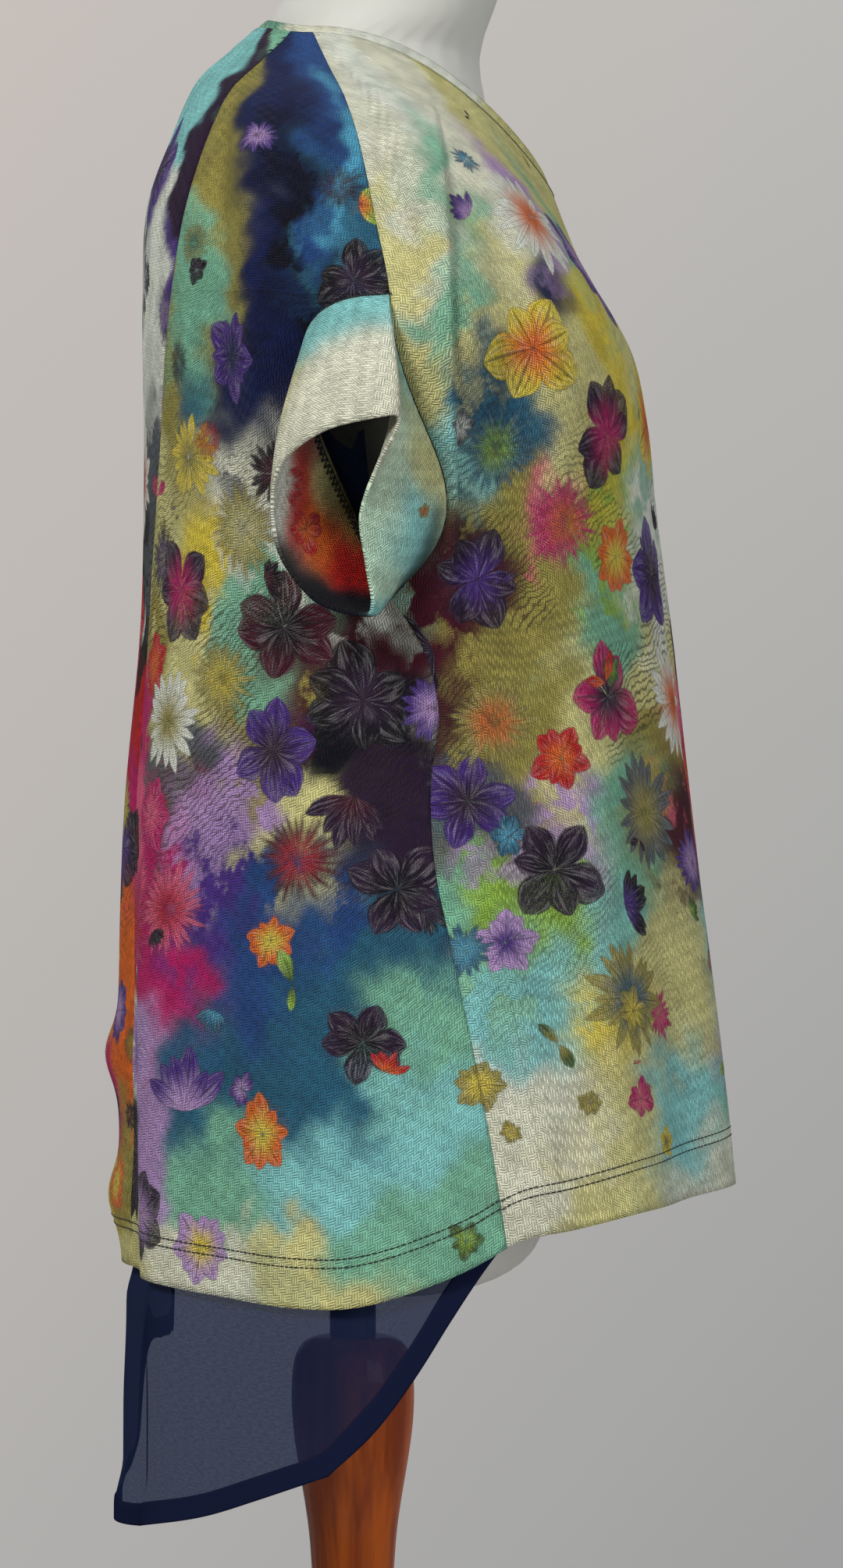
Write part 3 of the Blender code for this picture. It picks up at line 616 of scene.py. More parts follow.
@dataclass
class Print:
    """Paints washes and motifs onto grids, as attributes that the shader sharpens.

    Attributes:
        spots: the ground's patches.
        motifs: the motifs, lowest first.
        scale: metres for one unit across and for one unit up.
        under_shift: how far the second ground is moved, across and up.
        busy: the height of the busiest zone and its reach, or none for a plain piece.
        sway: how unevenly the patches run, 1 on the body.
    """

    spots: Sequence[Spot]
    motifs: Sequence[Motif]
    scale: tuple[float, float]
    under_shift: tuple[float, float]
    busy: Optional[tuple[float, float]] = None
    sway: float = 1.0

    def offset(self, values: Array, place: float) -> Array:
        """Measures how many degrees values lie from a place, the short way round."""
        return np.mod(values - place + 180, 360) - 180

    def ground(self, grid: Grid, moved: tuple[float, float]) -> Array:
        """Blends the patches over a grid.

        Args:
            grid: the grid.
            moved: how far the patches are moved, across and up.

        Returns:
            Linear colours for each point.
        """
        across, up = grid.across - moved[0], grid.up - moved[1]
        for reach, push in ((0.060, 0.010), (0.023, 0.005), (0.011, 0.003)):
            wave = grid.points / reach * 2.9
            push *= self.sway
            across = across + push / self.scale[0] * np.sin(wave[..., 1] + 1.7 * np.cos(wave[..., 2]))
            up = up + push / self.scale[1] * np.cos(wave[..., 2] * 0.9 + 1.9 * np.sin(wave[..., 1]))
        total = np.zeros(grid.up.shape)
        colour = np.zeros((*grid.up.shape, 3))
        for spot in self.spots:
            side = self.offset(across, spot.across) * self.scale[0] / spot.wide * 1000
            rise = (up - spot.up) * self.scale[1] / spot.tall * 1000
            weight = np.exp(-1.7 * (side**2 + rise**2)) + 1e-9
            total += weight
            colour += weight[..., None] * linear(spot.tone.value)
        return colour / total[..., None]

    def busyness(self, grid: Grid) -> Array:
        """Says how much drawing the ground has.

        Args:
            grid: the grid.

        Returns:
            From 0 to 1 for each point.
        """
        if not self.busy:
            return np.zeros(grid.up.shape)
        return np.exp(-(((grid.up - self.busy[0]) / self.busy[1]) ** 2))

    def paint(self, grid: Grid) -> dict[str, Array]:
        """Paints one grid.

        Args:
            grid: the grid.

        Returns:
            Attribute names and their four values for each point.
        """
        shape = grid.up.shape
        made = {
            "ground": np.concatenate([self.ground(grid, (0, 0)), self.busyness(grid)[..., None]], -1),
            "under": np.concatenate([self.ground(grid, self.under_shift), np.ones((*shape, 1))], -1),
        }
        for layer in range(LAYERS):
            for name in ("place", "form", "inner", "outer"):
                made[f"{name}{layer}"] = np.full((*shape, 4), 0.01)
            made[f"place{layer}"][..., 2] = 0
        normals = grid.normals()
        laid: list[list[tuple[Array, float]]] = [[] for _ in range(LAYERS)]
        rng = np.random.default_rng(SEED)
        for motif in self.motifs:
            seed = rng.uniform()
            apart = np.hypot(
                self.offset(grid.across, motif.across) * self.scale[0], (grid.up - motif.up) * self.scale[1]
            )
            nearest = np.unravel_index(np.argmin(apart), shape)
            if apart[nearest] > 0.003:
                continue
            centre, radius = grid.points[nearest], motif.radius / 1000
            reach = 1.10 * radius + CELL_REACH

            def is_free(layer: int) -> bool:
                return all(np.linalg.norm(centre - place) > reach + other for place, other in laid[layer])

            layer = next((number for number in range(LAYERS) if is_free(number)), None)
            if layer is None:
                continue
            laid[layer].append((centre, reach))
            step = grid.points - centre
            far = np.linalg.norm(step, axis=-1)
            near = (far < reach) & (normals @ normals[nearest] > 0.2)
            sideways = np.cross((0, 0, 1.0), normals[nearest])
            sideways /= np.linalg.norm(sideways)
            flat = np.stack([step[near] @ sideways, step[near] @ np.cross(normals[nearest], sideways)], -1)
            flat *= (far[near] / np.maximum(np.linalg.norm(flat, axis=-1), 1e-6))[:, None]
            petals, kept, width, ink, soft, bend = motif.kind.value
            count = near.sum()
            made[f"place{layer}"][near] = np.column_stack([flat, np.ones(count), np.full(count, motif.turn)])
            made[f"form{layer}"][near] = (petals, width, radius, ink)
            made[f"inner{layer}"][near] = (*linear(motif.inner.value), kept + 0.5 * seed)
            made[f"outer{layer}"][near] = (*linear(motif.outer.value), soft * 1000 + bend)
        return made


@dataclass
class NodeWork:
    """A node tree under construction."""

    tree: bpy.types.NodeTree

    def feed(self, socket: bpy.types.NodeSocket, value: Any) -> None:
        """Links an input to an output, or sets its value.

        Args:
            socket: the input.
            value: an output, or a plain value.
        """
        if isinstance(value, bpy.types.NodeSocket):
            self.tree.links.new(value, socket)
        else:
            socket.default_value = value

    def node(self, kind: str, inputs: Optional[dict[Any, Any]] = None, **settings: Any) -> bpy.types.Node:
        """Adds a node.

        Args:
            kind: the node's type.
            inputs: what goes into its inputs, by their names or numbers.
            settings: properties to set on it first.

        Returns:
            The node.
        """
        made = self.tree.nodes.new(kind)
        for name, value in settings.items():
            setattr(made, name, value)
        for name, value in (inputs or {}).items():
            self.feed(made.inputs[name], value)
        return made

    def math(self, operation: str, *values: Any) -> bpy.types.NodeSocket:
        """Adds a sum of that name on the values."""
        return self.node("ShaderNodeMath", dict(enumerate(values)), operation=operation).outputs[0]

    def combine(self, *values: Any) -> bpy.types.NodeSocket:
        """Joins up to three values into one vector."""
        return self.node("ShaderNodeCombineXYZ", dict(enumerate(values))).outputs[0]


class Shader(NodeWork):
    """A material under construction, with short names for its nodes."""

    def __init__(self, name: str) -> None:
        """Makes the material.

        Args:
            name: its name.
        """
        self.material = bpy.data.materials.new(name)
        self.material.use_nodes = True
        super().__init__(self.material.node_tree)
        self.surface = self.tree.nodes["Principled BSDF"]

    def between(self, value: Any, low: Any, high: Any, start: float = 0.0, end: float = 1.0) -> Any:
        """Maps a value smoothly from one range onto another.

        Args:
            value: the input.
            low: the input at the start.
            high: the input at the end.
            start: the result at the start.
            end: the result at the end.

        Returns:
            The result.
        """
        inputs = dict(enumerate((value, low, high, start, end)))
        return self.node("ShaderNodeMapRange", inputs, interpolation_type="SMOOTHSTEP").outputs[0]

    def mix(self, share: Any, first: Any, second: Any) -> bpy.types.NodeSocket:
        """Mixes a share of the second colour into the first."""
        inputs = {0: share, 6: first, 7: second}
        return self.node("ShaderNodeMix", inputs, data_type="RGBA", clamp_factor=True).outputs[2]

    def scale(self, colour: Any, factor: Any) -> bpy.types.NodeSocket:
        """Makes a colour lighter or darker by a factor."""
        return self.node("ShaderNodeVectorMath", {0: colour, "Scale": factor}, operation="SCALE").outputs[0]

    def stretch(self, place: Any, scale: tuple[float, float, float]) -> bpy.types.NodeSocket:
        """Stretches a place along its axes, for a drawn-out pattern."""
        return self.node("ShaderNodeMapping", {"Vector": place, "Scale": scale}, vector_type="POINT").outputs[0]

    def noise(self, vector: Any, scale: float, detail: float = 2.0, rough: float = 0.5) -> Any:
        """Adds a noise.

        Args:
            vector: where it is read.
            scale: how fine it is, in one metre.
            detail: how many finer noises it has.
            rough: how strong these are.

        Returns:
            A value near a half.
        """
        inputs = {"Vector": vector, "Scale": scale, "Detail": detail, "Roughness": rough}
        return self.node("ShaderNodeTexNoise", inputs).outputs[0]

    def attribute(self, name: str) -> tuple[bpy.types.NodeSocket, bpy.types.NodeSocket]:
        """Reads a painted attribute's colour and its fourth value."""
        made = self.node("ShaderNodeAttribute", attribute_name=name)
        return made.outputs["Color"], made.outputs["Alpha"]

    def split(self, colour: Any) -> list[bpy.types.NodeSocket]:
        """Splits a colour or a vector into its three parts."""
        return list(self.node("ShaderNodeSeparateXYZ", {0: colour}).outputs)

    def flat_place(self) -> bpy.types.NodeSocket:
        """Reads the place on the flat cloth, in metres."""
        return self.node("ShaderNodeUVMap", uv_map="metres").outputs[0]

    def object_place(self) -> bpy.types.NodeSocket:
        """Reads the place in space."""
        return self.node("ShaderNodeTexCoord").outputs["Object"]

    def bump(self, height: Any, distance: float) -> bpy.types.NodeSocket:
        """Turns a height from 0 to 1, of that many metres, into a normal."""
        inputs = {"Strength": 1.0, "Distance": distance, "Height": height}
        return self.node("ShaderNodeBump", inputs).outputs[0]

    def finish(self, **values: Any) -> bpy.types.Material:
        """Feeds the Principled shader.

        Args:
            values: input names with spaces as underscores, and their values.

        Returns:
            The material.
        """
        for name, value in values.items():
            self.feed(self.surface.inputs[name.replace("_", " ")], value)
        return self.material


# Linear colours of the print's lines and lights, and of the loops' bare core
PETAL_LIGHT = (0.66, 0.62, 0.64, 1)
PETAL_INK = (0.008, 0.006, 0.012, 1)
STROKE_INK = (0.03, 0.022, 0.02, 1)
LOOP_CORE = (0.36, 0.38, 0.37, 1)


@dataclass(frozen=True)
class PrintedJersey:
    """The printed jacquard jersey: soft blocks of ribs, with the print in its upper loops.

    Attributes:
        name: the material's name.
        block: a block's side in metres.
        ribs: how many ribs a block has.
        rib_valley_shade: how light the cloth is painted between the ribs, as their shade.
        relief: the ribs' height in metres.
        flecks: how much of the loops' core shows.
    """

    name: str
    block: float = 0.0041
    ribs: int = 3
    rib_valley_shade: float = 0.56
    relief: float = 0.00080
    flecks: float = 0.045

    def weave(self, shader: Shader, place: Any) -> bpy.types.NodeSocket:
        """Makes the height of the basket blocks.

        Args:
            shader: the material under construction.
            place: the flat cloth's place in metres.

        Returns:
            The height from 0 to 1.
        """
        across, along, _ = shader.split(place)
        drift = shader.math("MULTIPLY", shader.math("SUBTRACT", shader.noise(place, 90), 0.5), 0.0012)
        across = shader.math("ADD", across, drift)
        along = shader.math("ADD", along, drift)
        cells = [shader.math("FLOOR", shader.math("DIVIDE", value, self.block)) for value in (across, along)]
        parity = shader.math("FLOORED_MODULO", shader.math("ADD", *cells), 2.0)
        pitch = 2 * math.pi * self.ribs / self.block
        waves = [shader.math("SINE", shader.math("MULTIPLY", value, pitch)) for value in (across, along)]
        first = shader.math("MULTIPLY", waves[0], shader.math("SUBTRACT", 1.0, parity))
        both = shader.math("ADD", first, shader.math("MULTIPLY", waves[1], parity))
        return shader.math("MULTIPLY_ADD", both, 0.5, 0.5)

    def whorl(self, shader: Shader, layer: int, ring: int, place: Any) -> tuple[Any, Any, Any, Any]:
        """Draws one ring of petals.

        Args:
            shader: the material under construction.
            layer: the layer of motifs.
            ring: 0 for the lower ring, and 1 for the upper one.
            place: the cloth's place in space.

        Returns:
            How deep inside a petal, across it from 0 to 1, along it, and the petal's own chance value.
        """
        do = shader.math
        flat, turn = shader.attribute(f"place{layer}")
        form, _ = shader.attribute(f"form{layer}")
        _, kept_and_seed = shader.attribute(f"inner{layer}")
        _, soft_and_bend = shader.attribute(f"outer{layer}")
        side, rise, _ = shader.split(flat)
        petals, width, radius = shader.split(form)
        reach = do("SQRT", do("MULTIPLY_ADD", side, side, do("MULTIPLY", rise, rise)))
        bend = do("FRACT", soft_and_bend)
        share = do("DIVIDE", reach, radius)
        round_it = do("MULTIPLY_ADD", do("ARCTAN2", rise, side), 1 / (2 * math.pi), 10.0)
        round_it = do("ADD", do("ADD", round_it, turn), do("MULTIPLY", do("MULTIPLY", share, share),
                                                         do("MULTIPLY", bend, 0.06)))
        turned = do("MULTIPLY_ADD", round_it, petals, 0.5 * ring)
        number = do("FLOOR", do("ADD", turned, 0.5))
        part = do("SUBTRACT", turned, number)
        number = do("FLOORED_MODULO", number, do("MAXIMUM", petals, 1.0))
        mixed = shader.combine(do("MULTIPLY_ADD", number, 1.37, 3.1 * ring),
                               do("ROUND", do("MULTIPLY", kept_and_seed, 40.0)))
        chance = shader.node("ShaderNodeTexWhiteNoise", {"Vector": mixed}, noise_dimensions="2D")
        first, second, third = shader.split(chance.outputs["Color"])
        tilt = do("MULTIPLY", do("SUBTRACT", first, 0.5), 0.32)
        angle = do("DIVIDE", do("MULTIPLY", do("ADD", part, tilt), 2 * math.pi), do("MAXIMUM", petals, 1.0))
        length = do("MULTIPLY", radius, do("MULTIPLY_ADD", second, 0.24, 0.78 - 0.10 * ring))
        along = do("DIVIDE", do("MULTIPLY", reach, do("COSINE", angle)), length)
        aside = do("DIVIDE", do("MULTIPLY", reach, do("SINE", angle)), length)
        arch = do("POWER", do("MAXIMUM", do("MINIMUM", along, 1.0), 0.0), 1.25)
        arch = do("POWER", do("MAXIMUM", do("SINE", do("MULTIPLY", arch, math.pi)), 0.0), 0.75)
        outline = do("MULTIPLY", arch, do("MULTIPLY", width, do("MULTIPLY_ADD", third, 0.3, 0.85)))
        past = do("ADD", do("MAXIMUM", do("MULTIPLY", along, -3.0), 0.0),
                  do("MAXIMUM", do("MULTIPLY_ADD", along, 3.0, -3.0), 0.0))
        depth = do("SUBTRACT", do("SUBTRACT", outline, do("ABSOLUTE", aside)), past)
        missing = do("GREATER_THAN", number, do("SUBTRACT", do("FLOOR", kept_and_seed), 0.5))
        depth = do("MULTIPLY_ADD", missing, -1.0, do("MULTIPLY", depth, length))
        shaky = do("SUBTRACT", shader.noise(place, 330, 3), 0.5)
        depth = do("MULTIPLY_ADD", shaky, 0.0016, depth)
        beside = do("DIVIDE", aside, do("MAXIMUM", outline, 0.01))
        return depth, beside, along, do("MULTIPLY_ADD", third, 9.0, number)

    def layer(self, shader: Shader, below: Any, number: int, place: Any) -> bpy.types.NodeSocket:
        """Lays one layer of motifs over the colour below.

        Args:
            shader: the material under construction.
            below: the colour below.
            number: the layer.
            place: the cloth's place in space.

        Returns:
            The colour with the layer on it.
        """
        do = shader.math
        flat, _ = shader.attribute(f"place{number}")
        _, ink = shader.attribute(f"form{number}")
        inner, _ = shader.attribute(f"inner{number}")
        outer, soft_and_bend = shader.attribute(f"outer{number}")
        drawn_here = do("GREATER_THAN", shader.split(flat)[2], 0.97)
        soft = do("MULTIPLY", do("MAXIMUM", do("FLOOR", soft_and_bend), 0.6), 0.001)
        colour = below
        for ring in (0, 1):
            depth, beside, along, own = self.whorl(shader, number, ring, place)
            inside = shader.between(depth, do("MULTIPLY", soft, -0.6), soft)
            streak = shader.noise(shader.combine(do("MULTIPLY", beside, 2.6), along, own), 2.3, 3, 0.6)
            petal = shader.mix(shader.between(along, 0.08, 0.80), inner, outer)
            lit = shader.between(streak, 0.46, 0.66, 0.0, 0.42 - 0.10 * ring)
            petal = shader.mix(lit, petal, shader.mix(0.55, petal, PETAL_LIGHT))
            shade = shader.scale(petal, shader.between(streak, 0.28, 0.48, 0.55 + 0.15 * ring, 1.08))
            edge = shader.between(depth, 0.00025, 0.00100, 1, 0)
            vein = shader.between(do("ABSOLUTE", beside), 0.04, 0.13, 0.8, 0)
            ribs = do("SINE", do("MULTIPLY_ADD", beside, 17.0, do("MULTIPLY", along, 2.0)))
            lines = do("MAXIMUM", do("MAXIMUM", edge, vein), shader.between(ribs, 0.55, 0.98, 0, 0.5))
            petal = shader.mix(do("MULTIPLY", lines, ink), shade, shader.mix(0.80, shade, PETAL_INK))
            colour = shader.mix(do("MULTIPLY", inside, drawn_here), colour, petal)
        return colour

    def strokes(self, shader: Shader, colour: Any, busy: Any, place: Any) -> bpy.types.NodeSocket:
        """Draws fields of fine curved strokes on the ground.

        Args:
            shader: the material under construction.
            colour: the ground.
            busy: how much drawing there is.
            place: the cloth's place in space.

        Returns:
            The ground with strokes.
        """
        do = shader.math
        warp = shader.noise(place, 26, 2)
        _, sideways, upwards = shader.split(place)
        run = do("MULTIPLY_ADD", warp, 46.0, do("MULTIPLY", do("ADD", sideways, upwards), 1500.0))
        fine = do("MULTIPLY_ADD", shader.noise(place, 210, 2), 9.0, run)
        stroke = shader.between(do("SINE", fine), 0.25, 0.9)
        patch = shader.between(shader.noise(place, 15, 2), 0.50, 0.58)
        share = do("MULTIPLY", do("MULTIPLY", stroke, patch), do("MULTIPLY", busy, 0.85))
        return shader.mix(share, colour, shader.mix(0.8, colour, STROKE_INK))

    def build(self) -> bpy.types.Material:
        """Makes the material.

        Returns:
            The material.
        """
        shader = Shader(self.name)
        do = shader.math
        flat, place = shader.flat_place(), shader.object_place()
        ground, busy = shader.attribute("ground")
        under, _ = shader.attribute("under")
        blot = shader.between(shader.noise(place, 19, 5, 0.62), 0.50, 0.56)
        colour = shader.mix(do("MULTIPLY", blot, do("MULTIPLY_ADD", busy, 0.85, 0.08)), ground, under)
        bloom = shader.between(shader.noise(place, 60, 4, 0.6), 0.33, 0.68, 0.84, 1.12)
        colour = self.strokes(shader, shader.scale(colour, bloom), busy, place)
        for number in range(LAYERS):
            colour = self.layer(shader, colour, number, place)
        height = self.weave(shader, flat)
        worn = shader.between(shader.noise(flat, 330, 2), 0.3, 0.7, 0.55, 1.0)
        # Painted shade and highlight: the colour darkens in the valleys between the ribs and lifts a little on
        # their tops
        rib_shaded = shader.scale(colour, shader.between(height, 0.0, 0.65, self.rib_valley_shade, 1.06))
        # The loops' pale core shows between the ribs where the print is dark
        flecks = do("MULTIPLY", shader.between(height, 0.18, 0.02), do("MULTIPLY", worn, self.flecks))
        colour = shader.mix(flecks, rib_shaded, LOOP_CORE)
        normal = shader.bump(do("MULTIPLY", height, worn), self.relief)
        return shader.finish(
            Base_Color=colour, Roughness=0.85, Normal=normal, Sheen_Weight=0.02, Sheen_Roughness=0.5,
            Specular_IOR_Level=0.12,
        )


@dataclass(frozen=True)
class Sheer:
    """Fine navy sheer: it lets through what the weave's holes let through.

    Attributes:
        name: the material's name.
        passing: how much red, green and blue light passes.
        body: the threads' colour.
        density: whether it reads where the cloth lies double.
    """

    name: str
    passing: tuple[float, float, float]
    body: Colour
    density: bool = True

    def build(self) -> bpy.types.Material:
        """Makes the material.

        Returns:
            The material.
        """
        shader = Shader(self.name)
        place = shader.flat_place()
        fine = shader.noise(place, 1400, 2, 0.6)
        slubs = shader.noise(shader.stretch(place, (1.0, 4.0, 1.0)), 260, 3, 0.6)
        both = shader.math("MULTIPLY", shader.between(fine, 0.25, 0.75, 0.75, 1.25),
                           shader.between(slubs, 0.3, 0.7, 0.78, 1.22))
        dense = shader.attribute("density")[0] if self.density else 0.0
        clear = shader.math("MULTIPLY", both, shader.math("SUBTRACT", 1.0, dense))
        through = shader.node("ShaderNodeBsdfTransparent", {0: shader.scale(self.passing, clear)})
        cloth = shader.node("ShaderNodeBsdfDiffuse", {0: opaque(self.body)})
        added = shader.node("ShaderNodeAddShader", {0: through.outputs[0], 1: cloth.outputs[0]})
        shader.feed(shader.tree.nodes["Material Output"].inputs[0], added.outputs[0])
        return shader.material


@dataclass(frozen=True)
class PlainFinish:
    """A finish of one colour with a fine grain.

    Attributes:
        name: the material's name.
        colour: its colour.
        roughness: its roughness.
        grain: how fine its grain is, in one metre.
        relief: the grain's height in metres.
        sheen: the soft light at its edges.
        metallic: 1 for bare metal.
    """

    name: str
    colour: Colour
    roughness: float
    grain: float
    relief: float
    sheen: float = 0.0
    metallic: float = 0.0

    def build(self) -> bpy.types.Material:
        """Makes the material.

        Returns:
            The material.
        """
        shader = Shader(self.name)
        place = shader.object_place()
        height = shader.noise(place, self.grain, 3, 0.6)
        broad = shader.between(shader.noise(place, 9, 3), 0.3, 0.7, 0.95, 1.03)
        return shader.finish(
            Base_Color=shader.scale(tuple(linear(self.colour)), broad), Roughness=self.roughness,
            Normal=shader.bump(height, self.relief), Sheen_Weight=self.sheen, Metallic=self.metallic,
        )


@dataclass(frozen=True)
class VarnishedWood:
    """Turned wood under a clear glossy varnish.

    Attributes:
        name: the material's name.
        light: the wood between the grain lines.
        dark: the grain lines.
        grain: how close the grain lines are along x, y and z.
    """

    name: str
    light: Colour
    dark: Colour
    grain: tuple[float, float, float] = (1.0, 1.0, 0.035)

    def build(self) -> bpy.types.Material:
        """Makes the material.

        Returns:
            The material.
        """
        shader = Shader(self.name)
        stretched = shader.stretch(shader.object_place(), self.grain)
        figure = shader.noise(stretched, 62, 4, 0.55)
        pores = shader.noise(stretched, 620, 3, 0.7)
        colour = shader.mix(shader.between(figure, 0.36, 0.66), opaque(self.light), opaque(self.dark))
        colour = shader.mix(shader.between(pores, 0.55, 0.75, 0, 0.35), colour, opaque(self.dark))
        return shader.finish(
            Base_Color=colour, Roughness=0.45, Normal=shader.bump(pores, 0.00004), Coat_Weight=0.3,
            Coat_Roughness=0.07, Coat_IOR=1.5, Specular_IOR_Level=0.15,
        )


@dataclass
class Piece:
    """A cloth piece: its mesh, how it rides, and what it stands for.

    Attributes:
        name: the piece's name.
        node: the CAD node that it stands for.
        grid: its points.
        material: its material.
        slot: the record's material slot; not used.
        wall: its thickness in metres, or none for one layer.
        offset: 1 if the wall goes outward from the grid, and -1 if inward.
        closed: whether its last column meets its first.
        turned: whether its faces are wound the other way.
        flat: the cut's width and length in metres; not used.
        area: the cut's area in square metres; not used.
        held: how it is held; not used.
        attributes: painted values.
        shown: the finished object.
    """

    name: str
    node: Optional[str]
    grid: Grid
    material: bpy.types.Material
    slot: str
    wall: float
    offset: int = 1
    closed: bool = False
    turned: bool = False
    flat: Optional[tuple[float, float]] = None
    area: Optional[float] = None
    held: str = "hung"
    attributes: dict[str, Array] = field(default_factory=dict)
    shown: Optional[bpy.types.Object] = None

    def build(self) -> bpy.types.Object:
        """Makes the mesh and hides the CAD node that it stands for.

        Returns:
            The object.
        """
        points = self.grid.points
        columns, rows = points.shape[:2]
        number = np.arange(columns * rows).reshape(columns, rows)
        left = number if self.closed else number[:-1]
        right = np.roll(number, -1, axis=0) if self.closed else number[1:]
        corners = [left[:, :-1], right[:, :-1], right[:, 1:], left[:, 1:]]
        faces = np.stack(corners[::-1] if self.turned else corners, -1).reshape(-1, 4)
        mesh = bpy.data.meshes.new(self.name)
        mesh.from_pydata(points.reshape(-1, 3).tolist(), [], faces.tolist())
        self.lay_flat(mesh, faces, rows)
        for name, values in self.attributes.items():
            layer = mesh.attributes.new(name, "FLOAT_COLOR", "POINT")
            layer.data.foreach_set("color", values.reshape(-1, 4).astype(np.float32).ravel())
        mesh.shade_smooth()
        mesh.materials.append(self.material)
        made = add_object(self.name, mesh)
        if self.wall:
            thick = made.modifiers.new("wall", "SOLIDIFY")
            thick.thickness, thick.offset = self.wall, self.offset
        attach(made, "root")
        if self.node:
            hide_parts(self.node)
        self.shown = made
        return made

    def lay_flat(self, mesh: bpy.types.Mesh, faces: NDArray[np.int64], rows: int) -> None:
        """Gives the mesh its map in metres.

        Args:
            mesh: the mesh.
            faces: its faces' corners.
            rows: how many points a column has.
        """
        metres = self.grid.metres.reshape(-1, 2)
        places = metres[faces].copy()
        if self.closed:
            # The last strip's far side goes on from the last column instead of back to the first
            start = faces // rows
            back = (start == 0) & (start.max(axis=1, keepdims=True) == len(self.grid.points) - 1)
            round_it = np.linalg.norm(self.grid.points[0] - self.grid.points[-1], axis=-1)
            last = self.grid.metres[-1, faces % rows]
            last[..., 0] += round_it[faces % rows]
            places[back] = last[back]
        layer = mesh.uv_layers.new(name="metres")
        layer.data.foreach_set("uv", places.reshape(-1, 2).astype(np.float32).ravel())

    def declare(self, rests_on: Sequence[str], with_pieces: Sequence[bpy.types.Object]) -> None:
        """Args:
            rests_on: what it hangs from; not used.
            with_pieces: the threads on it; not used.
        """


def eased(values: Array) -> Array:
    """Smooths values that belong to neighbouring rows.

    Args:
        values: one for each row.

    Returns:
        The smoothed values.
    """
    shares = np.hanning(EASE_ROWS + 2)[1:-1]
    padded = np.pad(values, EASE_ROWS // 2, mode="edge")
    return np.convolve(padded, shares / shares.sum(), mode="valid")


def panel_grid(low: Array, high: Array, rows: Array, count: int, plain: tuple[Array, Array],
               crowd: float = 0.0) -> Grid:
    """Makes a panel of the body, sunk a little at its seams.

    Args:
        low: the first edge's azimuths.
        high: the last edge's.
        rows: the rows.
        count: how many columns.
        plain: both edges as they would be without an armhole; only nearby columns follow the armhole.
        crowd: how much closer together the outer columns are, from 0 to 1.

    Returns:
        The panel's grid.
    """
    place = np.linspace(-1, 1, count)
    share = ((place * (1 + crowd - crowd * place**2)) / 2 + 0.5)[:, None]
    azimuth = plain[0] * (1 - share) + plain[1] * share
    for edge, base, near in ((low, plain[0], 1 - share), (high, plain[1], share)):
        calm = eased(edge - base)
        azimuth = azimuth + calm * near**2.2 + (edge - base - calm) * near**5
    radius, _ = SURFACE.radius(azimuth, rows[None, :])
    from_edge = np.radians(np.minimum(azimuth - low, high - azimuth)) * radius
    dip = SEAM_DIP * np.exp(-((from_edge / SEAM_REACH) ** 2))
    points = SURFACE.point(azimuth, rows[None, :], inset=dip * smooth_step(0.0, 0.02, rows)[None, :])
    return Grid.measured(points, azimuth, points[..., 2])


def armhole_ring(clock: Array) -> Array:
    """Finds the right armhole's edge round the clock.

    Args:
        clock: degrees from its top towards the front.

    Returns:
        Points of the ring.
    """
    rows = CUFF_TOP_ROW + (UNDERARM_ROW - CUFF_TOP_ROW) * np.linspace(0, 1, 40) ** 1.4
    share = (1 - np.cos(np.radians(clock))) / 2
    row = CUFF_TOP_ROW + (UNDERARM_ROW - CUFF_TOP_ROW) * share
    ring = np.empty((len(clock), 3))
    for front, half in ((True, clock <= 180), (False, clock > 180)):
        edge = SURFACE.point(SURFACE.azimuth_at_y(SURFACE.armhole_y(rows, front), rows), rows)
        for axis in range(3):
            ring[half, axis] = np.interp(row[half], rows, edge[:, axis])
    return ring


def cuff_grid(sections: int, along: int) -> Grid:
    """Makes the right cuff's outer face, with its free edge rolled in.

    Args:
        sections: points round it.
        along: points from the armhole to the edge.

    Returns:
        The cuff's grid.
    """
    clock = np.arange(sections) * 360 / sections
    start = armhole_ring(clock)
    off_middle = start[:, 1] - start[:, 1].mean()
    start[:, 0] -= 0.0007
    start[:, 1] += 0.0004 * off_middle / np.abs(off_middle).max()
    again = [(entry[0] + turn, *entry[1:]) for turn in (-360, 0, 360) for entry in CUFF_EDGE]
    edge = np.stack([smooth_curve(again, clock, column) for column in (1, 2, 3)], -1) * np.array([-1, 1, 1])
    share = np.linspace(0, 1, along)[None, :, None]
    points = start[:, None] * (1 - share) + edge[:, None] * share
    middle = points.mean(axis=0, keepdims=True)
    out_of_tube = points - middle
    out_of_tube /= np.linalg.norm(out_of_tube, axis=-1, keepdims=True)
    swell = 0.0030 * np.sin(np.pi * share)
    roll = -0.0008 * smooth_step(0.955, 1.0, share)
    turn = np.radians(clock)[:, None, None]
    drag = 0.0007 * np.sin(3 * turn + 5 * share) * np.sin(np.pi * share)
    points = points + out_of_tube * (swell + roll + drag)
    up = np.broadcast_to(share[..., 0], points.shape[:2])
    return Grid.measured(points, np.broadcast_to(clock[:, None], up.shape), up, 0.0)


def by_quarter(azimuth: Array, values: tuple[float, float, float]) -> Array:
    """Goes smoothly from front to side to back.

    Args:
        azimuth: degrees round the body.
        values: at the front, the side and the back.

    Returns:
        The value at each azimuth.
    """
    turned = np.radians(half_turn(azimuth))
    ahead = np.where(np.cos(turned) > 0, values[0], values[2])
    return values[1] + (ahead - values[1]) * np.cos(turned) ** 2


